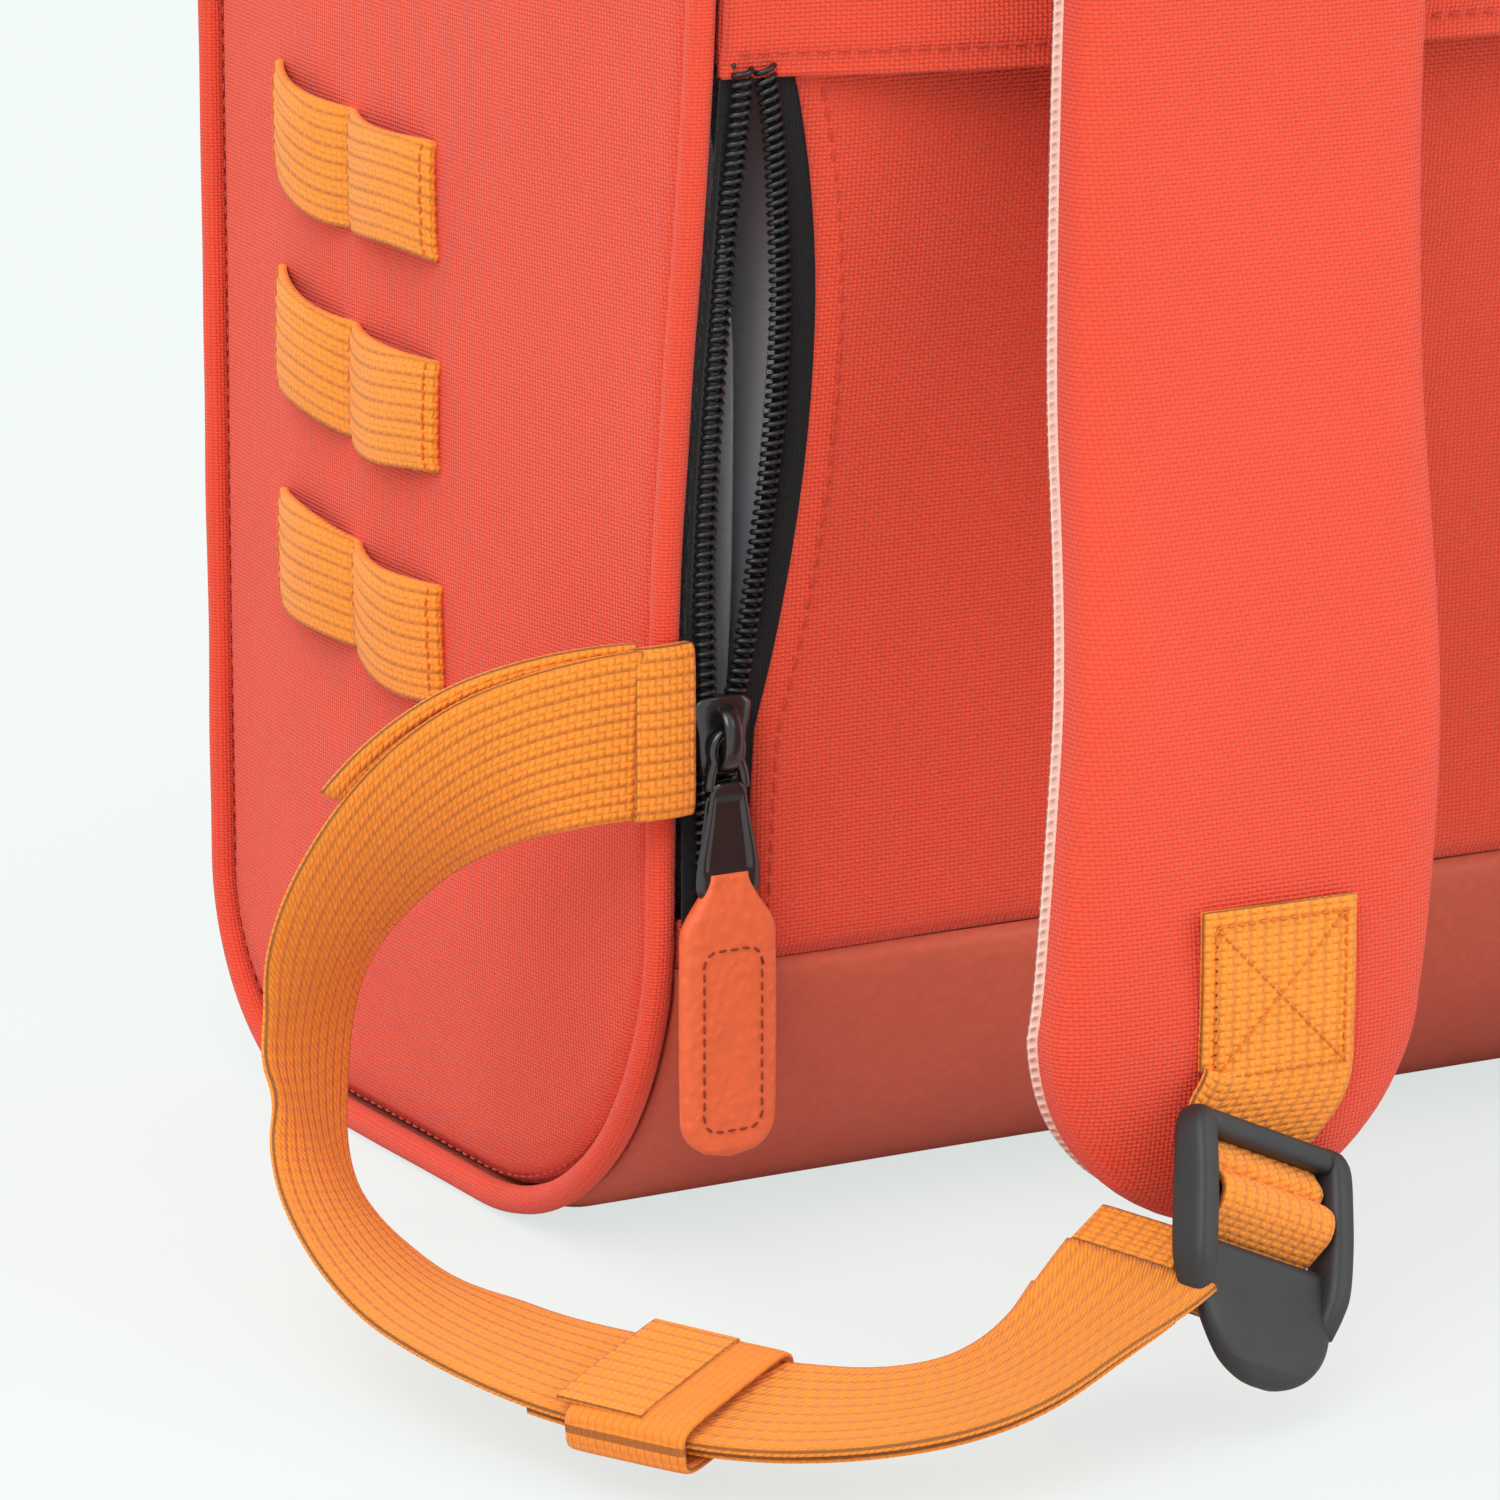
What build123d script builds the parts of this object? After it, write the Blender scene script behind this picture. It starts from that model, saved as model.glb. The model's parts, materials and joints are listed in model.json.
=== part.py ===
"""A box-shaped canvas backpack with a solar charging panel on its front.

Frame: X across the bag, +Y towards the wearer, +Z up, origin on the floor under the middle of the base.
"Right" and "left" are as worn, so the right side is +X. Millimetres.
"""
import os
from math import radians, tan

from build123d import *

os.makedirs("parts", exist_ok=True)

# ---------------------------------------------------------------- driving dimensions
WIDTH = 290.0            # across the side panels, over the piping
HEIGHT = 430.0           # floor to the top of the bag
FRONT_Y = -75.0          # flat front face
FOOT_Y, FOOT_Z = 74.0, 60.0       # wearer's side, where its padded bulge starts
BULGE_Y, BULGE_Z = 88.0, 230.0    # furthest point of the wearer's side
HEAD_Y, HEAD_Z = 80.0, 370.0      # wearer's side, where the top corner starts
PIPE = 4.5               # piping cord with its cover
CANVAS = 2.5             # outer canvas with its foam backing
LINING = 1.0
SEAM_Z = 49.0            # top of the leather base
OPEN_HALF = 112.0        # half width of the hinged front panel
OPEN_LOW, OPEN_HIGH = 60.0, 374.0
ZIP_HALF = 4.0           # width of one side of the main zip
ZIP_GAP = 0.4
HALF = WIDTH / 2
WRAP_HALF = HALF - PIPE

HINGE_GAP = 0.15         # between the hinged panel's lower edge and the cloth that it hangs from


def write(part, name):
    """Writes one sub-part as its own STEP file."""
    part.label = name
    export_step(part, f"parts/{name}.step")


def write_pair(part, name):
    """Writes a right-hand sub-part and its mirror image."""
    write(part, f"{name}_right")
    with BuildPart() as twin:
        add(part)
        mirror(about=Plane.YZ, mode=Mode.REPLACE)
    write(twin.part, f"{name}_left")


def side_outline(inset):
    """The bag's outline seen from the side, as a flat face moved in by inset, with Y along x and Z along y."""
    with BuildSketch() as profile:
        with BuildLine():
            halfway = ((FOOT_Y + BULGE_Y) / 2, (FOOT_Z + BULGE_Z) / 2)
            Line((FRONT_Y, 0), (FOOT_Y, 0))
            Line((FOOT_Y, 0), (FOOT_Y, FOOT_Z))
            TangentArc((FOOT_Y, FOOT_Z), halfway, tangent=(0, 1))
            TangentArc((BULGE_Y, BULGE_Z), halfway, tangent=(0, -1))
            TangentArc((BULGE_Y, BULGE_Z), (HEAD_Y, HEAD_Z), tangent=(0, 1))
            Line((HEAD_Y, HEAD_Z), (HEAD_Y, HEIGHT))
            Line((HEAD_Y, HEIGHT), (FRONT_Y, HEIGHT))
            Line((FRONT_Y, HEIGHT), (FRONT_Y, 0))
        make_face()
        for row, end, radius in ((0, 0, 34), (0, -1, 58), (-1, 0, 45), (-1, -1, 58)):
            corner = profile.vertices().group_by(Axis.Y)[row].sort_by(Axis.X)[end]
            fillet(corner, radius)
        if inset:
            offset(amount=-inset, kind=Kind.ARC, mode=Mode.REPLACE)
    return profile.sketch


def wall_ring(outer, inner, half):
    """The band of cloth that runs round the bag, between two insets, as wide as 2 * half."""
    with BuildPart() as ring:
        with BuildSketch(Plane.YZ):
            add(side_outline(outer))
            add(side_outline(inner), mode=Mode.SUBTRACT)
        extrude(amount=half, both=True)
    return ring.part


def wall_y(z):
    """Y of the wearer's side between FOOT_Z and BULGE_Z: two equal arcs, out and back."""
    rise, run = (BULGE_Z - FOOT_Z) / 2, (BULGE_Y - FOOT_Y) / 2
    radius = (rise ** 2 + run ** 2) / (2 * run)
    if z < FOOT_Z + rise:
        return FOOT_Y + radius - (radius ** 2 - (z - FOOT_Z) ** 2) ** 0.5
    return BULGE_Y - radius + (radius ** 2 - (BULGE_Z - z) ** 2) ** 0.5


OUTER_WALL = wall_ring(0, CANVAS, WRAP_HALF)

# ---------------------------------------------------------------- leather base
with BuildPart() as base:
    add(OUTER_WALL)
    with Locations((0, 0, SEAM_Z / 2)):
        Box(WIDTH, 400, SEAM_Z, mode=Mode.INTERSECT)
write(base.part, "leather_base")

# ---------------------------------------------------------------- side pocket mouths
MOUTH_LOW, MOUTH_HIGH = 57.0, 181.0      # ends of the pocket zips
SLIDER_Z = 84.0                          # where the open zip's slider stands
TAPE_EDGE = 129.0                        # inner edge of the straight, closed zip
TAPE = 5.0


def mouth_face(inset, bow):
    """Cut for one pocket zip. inset moves its inner edge out, bow is how far that edge is pushed open."""
    edge = TAPE_EDGE + inset
    with BuildSketch() as cut:
        with BuildLine():
            Line((WRAP_HALF, MOUTH_LOW), (WRAP_HALF, MOUTH_HIGH))
            Line((WRAP_HALF, MOUTH_HIGH), (edge, MOUTH_HIGH))
            if bow:
                ThreePointArc((edge, MOUTH_HIGH), (edge - bow, 148), (edge, SLIDER_Z))
                Line((edge, SLIDER_Z), (edge + 1.2, MOUTH_LOW))
                Line((edge + 1.2, MOUTH_LOW), (WRAP_HALF, MOUTH_LOW))
            else:
                Line((edge, MOUTH_HIGH), (edge, MOUTH_LOW))
                Line((edge, MOUTH_LOW), (WRAP_HALF, MOUTH_LOW))
        make_face()
    return cut.sketch


BOW = 6.5                                # the open zip's inner edge stands this far out
with BuildPart() as open_mouth:
    with BuildSketch(Plane.XZ):
        add(mouth_face(0, BOW))
    extrude(amount=-150)
with BuildPart() as shut_mouth:
    with BuildSketch(Plane.XZ):
        add(mouth_face(0, 0))
    extrude(amount=-150)
    mirror(about=Plane.YZ, mode=Mode.REPLACE)

# ---------------------------------------------------------------- back panel
BACK_TOP = 372.0
with BuildPart() as back:
    add(OUTER_WALL)
    with Locations((0, 100, (SEAM_Z + BACK_TOP) / 2)):
        Box(WIDTH, 120, BACK_TOP - SEAM_Z, mode=Mode.INTERSECT)
    add(open_mouth.part, mode=Mode.SUBTRACT)
    add(shut_mouth.part, mode=Mode.SUBTRACT)
write(back.part, "back_panel")

# ---------------------------------------------------------------- top panel and front rim
def opening_face(grow):
    """The hinged panel's outline, seen from the front, grown by grow."""
    with BuildSketch() as cut:
        with Locations((0, (OPEN_LOW + OPEN_HIGH) / 2)):
            Rectangle(2 * OPEN_HALF, OPEN_HIGH - OPEN_LOW)
        fillet(cut.vertices().group_by(Axis.Y)[-1], 34)
        if grow:
            offset(amount=grow, kind=Kind.ARC, mode=Mode.REPLACE)
            with Locations((0, OPEN_LOW - 50)):
                Rectangle(WIDTH, 100, mode=Mode.SUBTRACT)
    return cut.sketch


ZIP_OUT = 2 * ZIP_HALF + ZIP_GAP
with BuildPart() as opening_cut:
    with BuildSketch(Plane.XZ):
        add(opening_face(ZIP_OUT))
    extrude(amount=150)

RIM_TOP = 402.0
with BuildPart() as rim:
    add(OUTER_WALL)
    with Locations((0, -100, (SEAM_Z + RIM_TOP) / 2)):
        Box(WIDTH, 120, RIM_TOP - SEAM_Z, mode=Mode.INTERSECT)
    add(opening_cut.part, mode=Mode.SUBTRACT)
write(rim.part, "front_rim")

with BuildPart() as top:
    add(OUTER_WALL)
    with BuildPart(mode=Mode.PRIVATE) as keep:
        with BuildSketch(Plane.YZ):
            with BuildLine():
                Polyline((-120, RIM_TOP), (-20, RIM_TOP), (20, BACK_TOP), (120, BACK_TOP),
                         (120, 460), (-120, 460), close=True)
            make_face()
        extrude(amount=HALF, both=True)
    add(keep.part, mode=Mode.INTERSECT)
write(top.part, "top_panel")

# ---------------------------------------------------------------- side panels and piping
SIDE_T = 3.0
with BuildPart() as panel:
    with BuildSketch(Plane.YZ.offset(WRAP_HALF)):
        add(side_outline(PIPE))
    extrude(amount=SIDE_T)
write_pair(panel.part, "side_panel")

with BuildPart() as piping:
    with BuildSketch(Plane.YZ.offset(WRAP_HALF)):
        add(side_outline(0))
        add(side_outline(PIPE), mode=Mode.SUBTRACT)
    extrude(amount=PIPE)
    fillet(piping.faces().sort_by(Axis.X)[-1].edges(), 1.6)
write_pair(piping.part, "piping")

# ---------------------------------------------------------------- lining, sleeve, foam and board inside
LINE_HALF = 126.0
LINE_INSET = 6.0
with BuildPart() as lining:
    with BuildSketch(Plane.YZ):
        add(side_outline(LINE_INSET))
    extrude(amount=LINE_HALF, both=True)
    with BuildPart(mode=Mode.PRIVATE) as hollow:
        with BuildSketch(Plane.YZ):
            add(side_outline(LINE_INSET + LINING))
        extrude(amount=LINE_HALF - LINING, both=True)
    add(hollow.part, mode=Mode.SUBTRACT)
    add(opening_cut.part, mode=Mode.SUBTRACT)
write(lining.part, "lining")

with BuildPart() as board:
    with Locations((0, -8, LINE_INSET + LINING + 1.2)):
        Box(236, 50, 2)
write(board.part, "base_board")

with BuildPart() as foam:
    add(wall_ring(CANVAS + 0.3, LINE_INSET - 0.3, 108))
    with Locations((0, 100, 215)):
        Box(216, 120, 290, mode=Mode.INTERSECT)
write(foam.part, "back_foam")

SLEEVE_Y = 50.0          # the laptop sleeve's divider stands this far from the middle
with BuildPart() as divider:
    with Locations((0, SLEEVE_Y, 168)):
        Box(244, 5, 286)
    fillet(divider.edges().filter_by(Axis.Y).group_by(Axis.Z)[-1], 20)
write(divider.part, "laptop_divider")

# ---------------------------------------------------------------- side pocket bags
BAG_OUT, BAG_IN = WRAP_HALF - 0.3, LINE_HALF + 0.3
BAG_MIDDLE, BAG_WIDE = (BAG_OUT + BAG_IN) / 2, BAG_OUT - BAG_IN
BAG_DEEP, BAG_TALL = 104.0, 132.0
with BuildPart() as bag:
    with Locations((BAG_MIDDLE, 28, 118)):
        Box(BAG_WIDE, BAG_DEEP, BAG_TALL)
    with Locations((BAG_MIDDLE, 28 + BAG_DEEP / 2 - 40, 118)):
        Box(BAG_WIDE - 2 * LINING, 2 * BAG_DEEP - 2 * LINING, BAG_TALL - 2 * LINING, mode=Mode.SUBTRACT)
    with BuildPart(mode=Mode.PRIVATE) as inside:
        with BuildSketch(Plane.YZ):
            add(side_outline(CANVAS + 0.3))
        extrude(amount=HALF, both=True)
    add(inside.part, mode=Mode.INTERSECT)
write_pair(bag.part, "pocket_bag")

# ---------------------------------------------------------------- side pocket zips
ZIP_WALL = wall_ring(0.2, CANVAS - 0.2, WRAP_HALF)


def zip_strip(face):
    """The part of the back wall under a face drawn from the wearer's side."""
    with BuildPart() as strip:
        with BuildSketch(Plane.XZ):
            add(face)
        extrude(amount=-150)
        add(ZIP_WALL, mode=Mode.INTERSECT)
    return strip.part


def straight_strip(x0, x1):
    with BuildSketch() as strip:
        with Locations(((x0 + x1) / 2, (MOUTH_LOW + MOUTH_HIGH) / 2)):
            Rectangle(abs(x1 - x0), MOUTH_HIGH - MOUTH_LOW)
    return strip.sketch


with BuildSketch() as bowed:
    add(mouth_face(0, BOW))
    add(mouth_face(TAPE, BOW), mode=Mode.SUBTRACT)
with BuildPart() as open_zip:
    add(zip_strip(bowed.sketch))
    add(zip_strip(straight_strip(WRAP_HALF - TAPE, WRAP_HALF)))
write(open_zip.part, "pocket_zip_right")
MIDDLE = (WRAP_HALF + TAPE_EDGE) / 2
with BuildPart() as closed_zip:
    add(zip_strip(straight_strip(-WRAP_HALF, -MIDDLE - ZIP_GAP / 2)))
    add(zip_strip(straight_strip(-MIDDLE + ZIP_GAP / 2, -TAPE_EDGE)))
write(closed_zip.part, "pocket_zip_left")

# ---------------------------------------------------------------- zip sliders and pulls
PLATE_W, PLATE_T, PLATE_L = 8.0, 1.2, 11.0      # a slider's outer plate
ARCH = 2.6                                      # room under the slider's bridge
PULL_W, PULL_T = 8.4, 1.6
EYE = 1.6                                       # how far the pull reaches above the slider's middle


def zip_plane(place, out, up):
    """Plane on a zip: its z points out of the cloth and its y points the way the zip closes."""
    return Plane(origin=place, x_dir=Vector(up).cross(Vector(out)), z_dir=out)


def slider_body(plane, gap):
    """Slider standing gap above the cloth: a plate, and a bridge that holds the pull."""
    top = gap + PLATE_T
    with BuildPart(plane) as body:
        with Locations((0, 0, gap + PLATE_T / 2)):
            Box(PLATE_W, PLATE_L, PLATE_T)
        fillet(body.edges().filter_by(Axis(plane.origin, plane.z_dir)), 2.4)
        with Locations((0, -3.6, top + ARCH / 2), (0, 3.6, top + ARCH / 2)):
            Box(2.6, 1.6, ARCH)
        with Locations((0, 0, top + ARCH + 0.6)):
            Box(2.6, 8.8, 1.2)
    return body.part


def pull_tab(plane, gap, long):
    """Metal pull: its eye goes round the slider's bridge, and its tab hangs long below the slider's middle."""
    height = gap + PLATE_T + ARCH / 2
    with BuildPart(plane) as tab:
        with Locations((0, (EYE - long) / 2, height)):
            Box(PULL_W, EYE + long, PULL_T)
        fillet(tab.edges().filter_by(Axis(plane.origin, plane.z_dir)), 2.0)
        with Locations((0, -3, height)):
            Box(4.0, 6.6, 4, mode=Mode.SUBTRACT)
        with Locations((0, 3.4 - long, height)):
            Box(4.6, 2.6, 4, mode=Mode.SUBTRACT)
    return tab.part


def leather_tag(plane, gap, pull, pull_long, long, wide):
    """Leather tag whose pinched top goes through the lower hole of the pull and round its end."""
    height = gap + PLATE_T + ARCH / 2
    with BuildPart(plane) as tag:
        with Locations((0, -pull_long - 0.6 - long / 2, height)):
            Box(wide, long, 3.4)
        fillet(tag.edges().filter_by(Axis(plane.origin, plane.z_dir)), wide * 0.42)
        with Locations((0, 1.2 - pull_long, height)):
            Box(4.2, 6.4, 3.4)
    with BuildPart() as threaded:
        add(tag.part)
        add(pull, mode=Mode.SUBTRACT)
    return threaded.part


POCKET_GAP, SURFACE_GAP = 1.0, 0.4
PULL_L, TAG_L, TAG_W = 21.0, 40.0, 15.0
SHUT_Z = MOUTH_HIGH - 13.0
right_zip = zip_plane((135.6, wall_y(SLIDER_Z), SLIDER_Z), (0, 1, 0), (0, 0, 1))
left_zip = zip_plane((-MIDDLE, wall_y(SHUT_Z), SHUT_Z), (0, 1, 0), (0, 0, 1))
for plane, side in ((right_zip, "right"), (left_zip, "left")):
    write(slider_body(plane, POCKET_GAP), f"pocket_slider_{side}")
    pull = pull_tab(plane, POCKET_GAP, PULL_L)
    write(pull, f"pocket_pull_{side}")
    write(leather_tag(plane, POCKET_GAP, pull, PULL_L, TAG_L, TAG_W), f"pocket_tag_{side}")

MAIN_Z = OPEN_HIGH + ZIP_HALF + ZIP_GAP / 2
main_zip = zip_plane((9, FRONT_Y, MAIN_Z), (0, -1, 0), (0, 0, 1))
write_pair(slider_body(main_zip, SURFACE_GAP), "main_slider")
write_pair(pull_tab(main_zip, SURFACE_GAP, PULL_L), "main_pull")

# ---------------------------------------------------------------- hinged front panel with its half of the main zip
with BuildPart() as front:
    with BuildSketch(Plane.XZ.offset(-FRONT_Y)):
        add(opening_face(0))
    extrude(amount=-CANVAS)
    with Locations((0, FRONT_Y, OPEN_LOW)):
        Box(WIDTH, 20, 2 * HINGE_GAP, mode=Mode.SUBTRACT)
write(front.part, "front_panel")


def front_zip(grow_in, grow_out):
    with BuildPart() as half:
        with BuildSketch(Plane.XZ.offset(-FRONT_Y - 0.2)):
            add(opening_face(grow_out))
            add(opening_face(grow_in), mode=Mode.SUBTRACT)
        extrude(amount=0.4 - CANVAS)
        with Locations((0, FRONT_Y, OPEN_LOW)):
            Box(WIDTH, 20, 2 * HINGE_GAP, mode=Mode.SUBTRACT)
    return half.part


write(front_zip(0, ZIP_HALF), "main_zip_panel_half")
write(front_zip(ZIP_HALF + ZIP_GAP, ZIP_OUT), "main_zip_bag_half")

# ---------------------------------------------------------------- front pocket
POCKET_HALF, POCKET_LOW, POCKET_HIGH, POCKET_D = 100.0, 72.0, 352.0, 32.0
POCKET_T = 2.0
POCKET_FRONT = FRONT_Y - POCKET_D
SLOT_Y, SLOT_L = FRONT_Y - 12, 150.0     # the pocket's own zip, in its top wall
with BuildPart() as pocket:
    with BuildSketch(Plane.XZ.offset(-FRONT_Y)):
        with Locations((0, (POCKET_LOW + POCKET_HIGH) / 2)):
            RectangleRounded(2 * POCKET_HALF, POCKET_HIGH - POCKET_LOW, 26)
    extrude(amount=POCKET_D)
    fillet(pocket.faces().sort_by(Axis.Y)[0].edges(), 10)
    with BuildPart(mode=Mode.PRIVATE) as cavity:
        with BuildSketch(Plane.XZ.offset(-FRONT_Y)):
            with Locations((0, (POCKET_LOW + POCKET_HIGH) / 2)):
                RectangleRounded(2 * (POCKET_HALF - POCKET_T), POCKET_HIGH - POCKET_LOW - 2 * POCKET_T, 24)
        extrude(amount=POCKET_D - POCKET_T)
        fillet(cavity.faces().sort_by(Axis.Y)[0].edges(), 8)
    add(cavity.part, mode=Mode.SUBTRACT)
    with Locations((0, SLOT_Y, POCKET_HIGH)):
        Box(SLOT_L, 8, 12, mode=Mode.SUBTRACT)
write(pocket.part, "front_pocket")

with BuildPart() as pocket_zip:
    with Locations((0, SLOT_Y - 2.1, POCKET_HIGH - 1), (0, SLOT_Y + 2.1, POCKET_HIGH - 1)):
        Box(SLOT_L, 3.8, 1.8)
write(pocket_zip.part, "front_pocket_zip")

front_zip_plane = zip_plane((-62, SLOT_Y, POCKET_HIGH), (0, 0, 1), (-1, 0, 0))
write(slider_body(front_zip_plane, SURFACE_GAP), "front_slider")
write(pull_tab(front_zip_plane, SURFACE_GAP, PULL_L), "front_pull")

# ---------------------------------------------------------------- solar panel on the front pocket
SOLAR_W, SOLAR_H, SOLAR_Z = 172.0, 244.0, 212.0
with BuildPart() as backing:
    with BuildSketch(Plane.XZ.offset(-POCKET_FRONT)):
        with Locations((0, SOLAR_Z)):
            RectangleRounded(SOLAR_W, SOLAR_H, 8)
    extrude(amount=1.4)
write(backing.part, "solar_backing")

CELL_W, CELL_H, COLS, ROWS, CELL_GAP = 48.0, 43.0, 3, 5, 3.0
with BuildPart() as cells:
    with BuildSketch(Plane.XZ.offset(-POCKET_FRONT + 1.4)):
        with Locations((0, SOLAR_Z)):
            with GridLocations(CELL_W + CELL_GAP, CELL_H + CELL_GAP, COLS, ROWS):
                Rectangle(CELL_W, CELL_H)
    extrude(amount=0.4)
    chamfer(cells.edges().filter_by(Axis.Y), 3)
write(cells.part, "solar_cells")

with BuildPart() as cover:
    with BuildSketch(Plane.XZ.offset(-POCKET_FRONT + 2.0)):
        with Locations((0, SOLAR_Z)):
            RectangleRounded(SOLAR_W - 8, SOLAR_H - 8, 5)
    extrude(amount=0.6)
write(cover.part, "solar_cover")

with BuildPart() as binding:
    with BuildSketch(Plane.XZ.offset(-POCKET_FRONT)):
        with Locations((0, SOLAR_Z)):
            RectangleRounded(SOLAR_W + 12, SOLAR_H + 12, 14)
            RectangleRounded(SOLAR_W, SOLAR_H, 8, mode=Mode.SUBTRACT)
    extrude(amount=3.0)
    fillet(binding.faces().sort_by(Axis.Y)[0].edges(), 0.9)
write(binding.part, "solar_binding")

# ---------------------------------------------------------------- charge regulator behind the solar panel
REG_X, REG_Z, REG_W, REG_H, REG_D = 0.0, 255.0, 74.0, 46.0, 14.0
REG_Y = POCKET_FRONT + POCKET_T          # inside face of the pocket's front
with BuildPart() as housing:
    with Locations((REG_X, REG_Y + REG_D / 2, REG_Z)):
        Box(REG_W, REG_D, REG_H)
    fillet(housing.edges().filter_by(Axis.Y), 5)
    with Locations((REG_X, REG_Y + REG_D / 2 + 2, REG_Z)):
        Box(REG_W - 4, REG_D, REG_H - 4, mode=Mode.SUBTRACT)
    for dx in (-15, 15):
        with Locations((REG_X + dx, REG_Y + 7.5, REG_Z + REG_H / 2)):
            Box(15, 7.4, 8, mode=Mode.SUBTRACT)
    for dx in (-1, 1):
        for dz in (-1, 1):
            with Locations((REG_X + dx * (REG_W / 2 - 6), REG_Y + REG_D / 2, REG_Z + dz * (REG_H / 2 - 6))):
                Cylinder(3.0, REG_D - 0.02, rotation=(90, 0, 0))
            with Locations((REG_X + dx * (REG_W / 2 - 6), REG_Y + REG_D / 2 + 4, REG_Z + dz * (REG_H / 2 - 6))):
                Cylinder(1.25, REG_D - 4, rotation=(90, 0, 0), mode=Mode.SUBTRACT)
write(housing.part, "regulator_housing")

with BuildPart() as lid:
    with Locations((REG_X, REG_Y + REG_D + 1, REG_Z)):
        Box(REG_W, 2, REG_H)
    fillet(lid.edges().filter_by(Axis.Y), 5)
    for dx in (-1, 1):
        for dz in (-1, 1):
            with Locations((REG_X + dx * (REG_W / 2 - 6), REG_Y + REG_D + 1, REG_Z + dz * (REG_H / 2 - 6))):
                Cylinder(1.6, 6, rotation=(90, 0, 0), mode=Mode.SUBTRACT)
write(lid.part, "regulator_lid")

with BuildPart() as screws:
    for dx in (-1, 1):
        for dz in (-1, 1):
            with Locations((REG_X + dx * (REG_W / 2 - 6), REG_Y + REG_D - 1, REG_Z + dz * (REG_H / 2 - 6))):
                Cylinder(1.15, 8, rotation=(90, 0, 0))
            with Locations((REG_X + dx * (REG_W / 2 - 6), REG_Y + REG_D + 2.6, REG_Z + dz * (REG_H / 2 - 6))):
                Cylinder(2.4, 1.2, rotation=(90, 0, 0))
write(screws.part, "regulator_screws")

with BuildPart() as circuit:
    with Locations((REG_X, REG_Y + 4.0, REG_Z - 2)):
        Box(REG_W - 22, 1.6, REG_H - 10)
write(circuit.part, "regulator_board")

with BuildPart() as usb:
    for dx in (-15, 15):
        with Locations((REG_X + dx, REG_Y + 7.9, REG_Z + REG_H / 2 - 6.6)):
            Box(14, 6, 12)
            Box(12.6, 4.8, 12.02, mode=Mode.SUBTRACT)
        with Locations((REG_X + dx, REG_Y + 7.9, REG_Z + REG_H / 2 - 12)):
            Box(12.6, 4.8, 1.2)
        with Locations((REG_X + dx, REG_Y + 9.2, REG_Z + REG_H / 2 - 7.4)):
            Box(10, 1.6, 9)
write(usb.part, "usb_sockets")

# ---------------------------------------------------------------- trolley sleeve across the back
BAND_LOW, BAND_HIGH, BAND_T, BAND_RISE = 177.0, 322.0, 2.0, 9.0
BAND_HALF, BAND_FOOT = 140.4, BULGE_Y + 0.1
with BuildPart() as band:
    with BuildSketch(Plane.XY.offset(BAND_LOW)):
        with BuildLine():
            near_y, far_y = BAND_FOOT, BAND_FOOT + BAND_T
            ThreePointArc((-BAND_HALF, near_y), (0, near_y + BAND_RISE), (BAND_HALF, near_y))
            Line((BAND_HALF, near_y), (BAND_HALF, far_y))
            ThreePointArc((BAND_HALF, far_y), (0, far_y + BAND_RISE), (-BAND_HALF, far_y))
            Line((-BAND_HALF, far_y), (-BAND_HALF, near_y))
        make_face()
    extrude(amount=BAND_HIGH - BAND_LOW)
    for sign in (1, -1):
        with Locations((sign * (BAND_HALF - 1.5), 84.5, (BAND_LOW + BAND_HIGH) / 2)):
            Box(3, 9, BAND_HIGH - BAND_LOW)
    with BuildPart(mode=Mode.PRIVATE) as body:
        with BuildSketch(Plane.YZ):
            add(side_outline(0))
        extrude(amount=HALF, both=True)
    add(body.part, mode=Mode.SUBTRACT)
write(band.part, "trolley_sleeve")

# ---------------------------------------------------------------- webbing loops on the side panels
LOOP_W, LOOP_T = 20.0, 1.4
LOOP_ZS = (87.0, 120.0, 152.5)
LOOP_YS = (-44.0, -15.5, 13.0)           # the three stitch lines
LOOP_RISE = 4.2
with BuildPart() as loops:
    skin = WRAP_HALF + SIDE_T
    for z in LOOP_ZS:
        with BuildSketch(Plane.XY.offset(z - LOOP_W / 2)):
            for y0, y1 in zip(LOOP_YS, LOOP_YS[1:]):
                middle = (y0 + y1) / 2
                with BuildLine():
                    ThreePointArc((skin, y0), (skin + LOOP_RISE + LOOP_T, middle), (skin, y1))
                    Line((skin, y1), (skin, y1 - 2.6))
                    ThreePointArc((skin, y1 - 2.6), (skin + LOOP_RISE, middle), (skin, y0 + 2.6))
                    Line((skin, y0 + 2.6), (skin, y0))
                make_face()
        extrude(amount=LOOP_W)
write_pair(loops.part, "side_loops")

# ---------------------------------------------------------------- carrying handle on the top
HANDLE_Y, HANDLE_W, HANDLE_HALF, HANDLE_T, HANDLE_RISE = 2.0, 24.0, 58.0, 4.0, 34.0
with BuildPart() as handle:
    with BuildSketch(Plane.XZ.offset(-HANDLE_Y - HANDLE_W / 2)):
        with BuildLine():
            foot, inner = HANDLE_HALF, HANDLE_HALF - 7
            ThreePointArc((-foot, HEIGHT), (0, HEIGHT + HANDLE_RISE), (foot, HEIGHT))
            Line((foot, HEIGHT), (inner, HEIGHT))
            ThreePointArc((inner, HEIGHT), (0, HEIGHT + HANDLE_RISE - HANDLE_T), (-inner, HEIGHT))
            Line((-inner, HEIGHT), (-foot, HEIGHT))
        make_face()
    extrude(amount=HANDLE_W)
write(handle.part, "carry_handle")

# ---------------------------------------------------------------- shoulder straps
STRAP_T, MESH_T = 10.0, 2.4
# middle of the strap's run from its top seam to its tip, as (y, z)
STRAP_RUN = [(88, 382), (98, 353), (106, 320), (108.5, 285), (109, 240), (110, 190), (121, 140),
             (139, 95), (145, 62), (144, 42), (140, 22)]
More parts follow.
